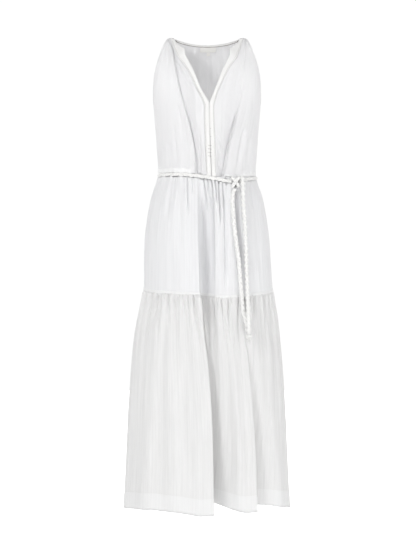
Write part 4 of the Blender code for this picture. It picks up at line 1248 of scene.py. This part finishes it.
def ring_line(half_name, z):
    """Fine line along the front or back half of one ring, with its large folds."""
    ring = read_row(RINGS, RING_NAMES, z)
    angles = np.linspace(-math.pi / 2, math.pi / 2, RING_FINE)
    facing = -1.0 if half_name == "front" else 1.0
    depth = ring["front"] if half_name == "front" else ring["back"]
    x = ring["half"] * np.sin(angles)
    y = facing * depth * np.cos(angles)
    height = np.full_like(x, z)
    if half_name == "front":
        height = height - ring["dip"] * np.cos(angles)
    flat = np.stack([x, y], axis=1)
    run = run_along(flat)
    tangent = unit(np.gradient(flat, axis=0))
    inward = facing * np.stack([tangent[:, 1], -tangent[:, 0]], axis=1)
    sunk = np.zeros_like(x)
    side = np.zeros_like(x)
    if half_name == "front":
        for table in FRONT_FOLDS:
            fold = fold_line(table, z)
            edge = float(np.interp(fold["x"], x, run))
            q = run - edge
            shape = ease(q / FOLD_SHARP) * (1.0 - ease((q - FOLD_SHARP) / fold["reach"]))
            sunk += fold["depth"] * shape
            side -= fold["tuck"] * shape
        lift = fold_line(MIDDLE_FOLD, z)["depth"] / MIDDLE_FOLD[-1][2]
        near_hem = ease((SEAM_Z - z) / (SEAM_Z - HEM_Z))
        height = height + HEM_LIFT * near_hem * np.clip(sunk / MIDDLE_FOLD[-1][2], 0.0, 1.0) * lift
        height = height + np.interp(np.degrees(angles), *zip(*HEM_RISE)) * near_hem ** 2
    for row in TROUGHS:
        trough = dict(zip(TROUGH_NAMES, row))
        if trough["half"] != half_name:
            continue
        share = float(ease((trough["top"] - z) / (trough["top"] - HEM_Z)))
        centre = float(np.interp(math.radians(trough["angle"]), angles, run))
        sunk += trough["depth"] * share * np.exp(-((run - centre) / trough["width"]) ** 2)
    plan = flat + inward * sunk[:, None] + tangent * side[:, None]
    near_seam = math.exp(-((z - SEAM_Z) / SEAM_TILT_REACH) ** 2)
    if half_name == "front":
        height = height + near_seam * np.interp(x, *zip(*SEAM_TILT))
    plan[:, 0] += LEFT_TRIM * near_seam * ease(-x / ring["half"])
    return np.stack([plan[:, 0], plan[:, 1], height], axis=1)


def ring_grid(half_name, levels, columns):
    """Rings of points whose columns keep their places between the folds' edges."""
    if half_name == "back":
        return pinched(np.array([spread(ring_line(half_name, z), columns) for z in levels]))
    rows, shares, lines = [], [], []
    for z in levels:
        line = ring_line(half_name, z)
        half = read_row(RINGS, RING_NAMES, z)["half"]
        cuts = [0]
        for table in FRONT_FOLDS:
            angle = math.asin(fold_line(table, z)["x"] / half)
            cuts.append(round((angle / math.pi + 0.5) * (len(line) - 1)))
        cuts.append(len(line) - 1)
        run = run_along(line)
        shares.append(np.diff(run[cuts]) / run[-1])
        lines.append((line, cuts))
    counts = np.round(np.mean(shares, axis=0) * columns).astype(int)
    counts[0] += columns - counts.sum()
    for line, cuts in lines:
        parts = [spread(line[a:b + 1], count)[:-1] for a, b, count in zip(cuts, cuts[1:], counts)]
        rows.append(np.concatenate(parts + [line[-1:]]))
    return pinched(np.array(rows))


def ring_cloth(half_name, levels, columns, flat_width):
    """Grid of points, their places on the flat cloth and their distance from a side."""
    grid = ring_grid(half_name, levels, columns)
    uv = grid_uv(grid, flat_width, 0.0)
    uv[..., 1] = (levels[0] - levels)[:, None]
    return grid, uv, np.minimum(row_distance(grid, True), row_distance(grid, False))


def finish_rings(name, grid, outward, uv, looks, second):
    """Move the cloth's points out, close its side seams and make the piece."""
    placed = grid + grid_normals(grid) * outward[..., None]
    placed[:, (0, -1), 1] = 0.0
    final = grid_normals(placed)
    for column in (0, -1):
        locked(final, ALL, column, 1)
    for row in (0, -1):
        locked(final, row, ALL, 2)
    piece = shell(name, placed, final, CLOTH, uv, looks, second)
    dress_piece(piece, name.replace("cloth_", ""))
    return placed, final


def rows_below(levels, height):
    """Which rows of faces have their middle below a height."""
    return (0.5 * (levels[1:] + levels[:-1]) < height)[:, None]


# The seam allowance inside makes a raised line above the tier seam, and the skirt
# laps a little over the gathered top of the tier
SEAM_BAND = 0.0055
SEAM_RAISED = 0.0009
SEAM_LAP = 0.0015
SEAM_STITCH = 0.0010
# How much closer the skirt's rows lie at its waist and its seam
ROWS_BUNCHED = 0.55
# Share of the gathers' mean depth by which the cloth billows out again
BILLOW = 0.85
# Share of the tier's gathers that is there already where they leave the seam
GATHERS_AT_SEAM = 0.06

# Middle hollow of the skirt and the upper tier: z, left and right wall, depth
HOLLOW_NAMES = ("z", "left", "right", "depth")
HOLLOW = (
    (-0.415, -0.022, 0.006, 0.000),
    (-0.450, -0.022, 0.016, 0.012),
    (-0.520, -0.020, 0.022, 0.028),
    (-0.640, -0.018, 0.024, 0.036),
    (-0.730, -0.014, 0.022, 0.030),
    (-0.800, -0.007, 0.020, 0.016),
    (-0.880, 0.002, 0.024, 0.000),
)


def hollow_depth(grid):
    """How much deeper the middle hollow is than the large fold beside it."""
    x, z = grid[..., 0], grid[..., 2]
    row = read_table(HOLLOW, HOLLOW_NAMES, z)
    return row["depth"] * ease((x - row["left"]) / 0.0045) * ease((row["right"] - x) / 0.012)


def make_skirt(half_name, flat_width, seed):
    share = np.linspace(0.0, 1.0, SKIRT_ROWS + 1)
    share = share - ROWS_BUNCHED * np.sin(2 * math.pi * share) / (2 * math.pi)
    levels = WAIST_Z + (SEAM_Z - SEAM_LAP - WAIST_Z) * share
    grid, uv, edge = ring_cloth(half_name, levels, SKIRT_COLUMNS[half_name], flat_width)
    above = (levels - SEAM_Z)[:, None]
    inward = all_gathers(uv[..., 0] / flat_width, uv[..., 1], SKIRT_GATHERS[half_name], seed)
    inward -= BILLOW * inward.mean(axis=1, keepdims=True)
    sunk = 0.0
    if half_name == "front":
        inward += crease_depth(grid[..., 0], grid[..., 2], SKIRT_CREASES)
        sunk = hollow_depth(grid)
    calm = ease(edge / 0.006) * (0.25 + 0.75 * ease((above - 0.006) / 0.012))
    outward = crinkle(uv[..., 0], uv[..., 1], seed + 2) * calm
    outward -= inward * ease(edge / 0.012) * ease((above - 0.006) / 0.05) + sunk
    outward += SEAM_RAISED * (1.0 - ease((above - SEAM_BAND) / 0.0016))
    placed, final = finish_rings("cloth_skirt_" + half_name, grid, outward, uv,
                                 [GAUZE, SEAM_GAUZE], rows_below(levels, SEAM_Z + SEAM_BAND))
    row = int(np.argmin(np.abs(levels - SEAM_Z - SEAM_BAND + SEAM_STITCH)))
    make_stitches("stitches_seam_" + half_name, [(placed[row], final[row])])


# Deep hem: its height, how far it is raised, and how far below its top it is stitched
HEM_DEEP = 0.050
HEM_RAISED = 0.0008
HEM_STITCH = 0.0020


def make_tier(half_name, flat_width, seed):
    share = np.linspace(0.0, 1.0, TIER_ROWS + 1)
    levels = SEAM_Z + (HEM_Z - SEAM_Z) * (0.55 * share + 0.45 * share ** 2)
    grid, uv, edge = ring_cloth(half_name, levels, TIER_COLUMNS[half_name], flat_width)
    above = (levels - HEM_Z)[:, None]
    fallen = uv[..., 1]
    inward = all_gathers(uv[..., 0] / flat_width, fallen, TIER_GATHERS[half_name], seed)
    inward *= GATHERS_AT_SEAM + (1.0 - GATHERS_AT_SEAM) * ease((fallen - SEAM_LAP) / 0.007)
    inward -= BILLOW * inward.mean(axis=1, keepdims=True)
    sunk = 0.0
    if half_name == "front":
        inward += crease_depth(grid[..., 0], grid[..., 2], TIER_CREASES)
        sunk = hollow_depth(grid)
    calm = ease(edge / 0.006) * (0.2 + 0.8 * ease(fallen / 0.010))
    hem = 1.0 - ease((above - HEM_DEEP) / 0.0030)
    outward = crinkle(uv[..., 0], uv[..., 1], seed + 3) * calm * (1.0 - 0.6 * hem)
    outward -= inward * ease(edge / 0.012) + sunk
    outward += SEAM_RAISED * (1.0 - ease((fallen - SEAM_LAP) / 0.004))
    outward += HEM_RAISED * (hem - np.exp(-((above - HEM_DEEP + HEM_STITCH) / 0.0022) ** 2))
    placed, final = finish_rings("cloth_tier_" + half_name, grid, outward, uv,
                                 [TIER_GAUZE, HEM_GAUZE], rows_below(levels, HEM_Z + HEM_DEEP))
    row = int(np.argmin(np.abs(levels - HEM_Z - HEM_DEEP + HEM_STITCH)))
    make_stitches("stitches_hem_" + half_name, [(placed[row], final[row])])


# Ladder stitches that close the placket, by height, and two small thread knots
TICK_HEIGHTS = (-0.3130, -0.3225, -0.3321, -0.3417)
TICK_ENDS = (0.0026, 0.0128)
KNOT_PLACES = ((0.0099, -0.2670), (0.0105, -0.2890))
TICK_THICK = 0.0008
TICK_LIFT = 0.0004


def placket_point(x, z):
    row = front_level(-1, -z)
    return x, float(front_y(row, x)) - BAND_PROUD - TICK_LIFT, z


def make_placket_stitches():
    routes = [[placket_point(x, z + 0.0006 * math.sin(400.0 * x)) for x in np.linspace(*TICK_ENDS, 7)]
              for z in TICK_HEIGHTS]
    routes += [[placket_point(x - 0.0012, z), placket_point(x, z + 0.0004), placket_point(x + 0.0012, z)]
               for x, z in KNOT_PLACES]
    parts = [thread_tube(np.array(route), TICK_THICK, 6) for route in routes]
    sewn_piece("stitches_placket", parts, GREY_THREAD)


# Labels

# Left, right, top and foot of the label and of the tab, and how far they stand off the
# back's own form, whose creases and thickness lie between
LABEL = (-0.0195, 0.0250, -0.0235, -0.0360)
SIZE_TAB = (-0.0010, 0.0085, -0.0364, -0.0460)
LABEL_THICK = 0.0008
LABEL_CLEAR = 0.0048
LABEL_ROWS = 13
LABEL_COLUMNS = 33
# Smallest side of the flat cloth given to a sheet's UVs
LEAST_FLAT = 0.010


def make_label(name, node, outline, sag):
    """Small bare label inside the back of the neck, sewn along its top."""
    left, right, top, foot = outline
    back = back_grid(np.linspace(6.0, 18.0, 31))
    rows = []
    for z in np.linspace(top, foot, LABEL_ROWS):
        places, depths = ([np.interp(-z, -back[:, c, 2], back[:, c, axis]) for c in range(back.shape[1])]
                          for axis in (0, 1))
        rows.append([(x, np.interp(x, places, depths) - LABEL_CLEAR, z)
                     for x in np.linspace(left, right, LABEL_COLUMNS)])
    sheet = np.array(rows)
    down = np.linspace(0.0, 1.0, LABEL_ROWS)[:, None]
    across = np.linspace(0.0, 1.0, LABEL_COLUMNS)[None, :]
    sheet[..., 1] -= sag * (down ** 2 * (0.6 + 0.4 * np.cos(9.0 * across)))
    size = (max(right - left, LEAST_FLAT), max(top - foot, LEAST_FLAT))
    piece = shell(name, sheet, grid_normals(sheet), LABEL_THICK, grid_uv(sheet, *size), [SATIN])
    dress_piece(piece, node)


# Scene

CAMERA_AWAY = 4.5
CAMERA_X = 0.0028
CAMERA_Z = -0.6734
FRAME_TALL = 1.554
SENSOR = 36.0
FLOOR_Z = -1.62
FLOOR_HALF = 9.0
# Strength of the pale world as light, and as the background that the camera sees
WORLD_STRENGTH = 0.64
BACKDROP = 1.02
LAMP_TARGET = (0.0, 0.0, -0.7)
# Name, place, size and power of each lamp, all turned to the middle of the dress
LAMPS = (
    ("key", (-2.5, -4.4, 1.0), 1.0, 58.0),
    ("front", (0.0, -5.2, -0.1), 1.2, 36.0),
    ("fill", (3.6, -3.0, -0.2), 1.2, 30.0),
    ("back_left", (-2.0, 4.6, 0.8), 1.2, 58.0),
    ("back_right", (2.8, 4.0, 0.2), 1.4, 40.0),
)


def make_camera():
    data = bpy.data.cameras.new("camera")
    data.sensor_width = SENSOR
    data.lens = SENSOR * CAMERA_AWAY / FRAME_TALL
    made = add_object("camera", data, (CAMERA_X, -CAMERA_AWAY, CAMERA_Z))
    made.rotation_euler = (math.radians(90.0), 0.0, 0.0)
    bpy.context.scene.camera = made


def make_light(name, place, size, power):
    data = bpy.data.lights.new(name, "AREA")
    data.shape = "DISK"
    data.size = size
    data.energy = power
    toward = Vector(LAMP_TARGET) - Vector(place)
    add_object(name, data, place).rotation_euler = toward.to_track_quat("-Z", "Y").to_euler()


def make_world():
    world = bpy.data.worlds.new("pale_world")
    world.use_nodes = True
    tree = world.node_tree
    background = tree.nodes["Background"]
    background.inputs["Color"].default_value = (1.0, 1.0, 1.0, 1.0)
    seen = tree.nodes.new("ShaderNodeLightPath").outputs["Is Camera Ray"]
    lift = combine(tree, "MULTIPLY", seen, BACKDROP - WORLD_STRENGTH)
    tree.links.new(combine(tree, "ADD", lift, WORLD_STRENGTH), background.inputs["Strength"])
    bpy.context.scene.world = world
    bpy.context.scene.view_settings.view_transform = "Standard"


def make_floor():
    mesh = bpy.data.meshes.new("floor")
    corners = ((-1, -1), (1, -1), (1, 1), (-1, 1))
    mesh.from_pydata([(FLOOR_HALF * x, FLOOR_HALF * y, FLOOR_Z) for x, y in corners], [], [(0, 1, 2, 3)])
    mesh.materials.append(floor_material())
    add_object("floor", mesh)


make_camera()
make_world()
make_floor()
for lamp in LAMPS:
    make_light(*lamp)

make_tail("right", RIGHT_TAIL_TURN + RIGHT_TAIL)
make_tail("left", LEFT_TAIL)
make_belt_loop()
make_belt_knot()

make_front("left", -1, BODICE_LEFT_CREASES, 50)
make_front("right", 1, BODICE_RIGHT_CREASES, 70)
make_back()
make_binding()
for half_name, skirt_flat, tier_flat, seed in (("front", 0.60, 0.80, 100), ("back", 0.52, 0.74, 200)):
    make_skirt(half_name, skirt_flat, seed)
    make_tier(half_name, tier_flat, seed + 10)
make_placket_stitches()
make_label("label_neck", "neck_label", LABEL, 0.0006)
make_label("label_size", "size_tab", SIZE_TAB, 0.0012)
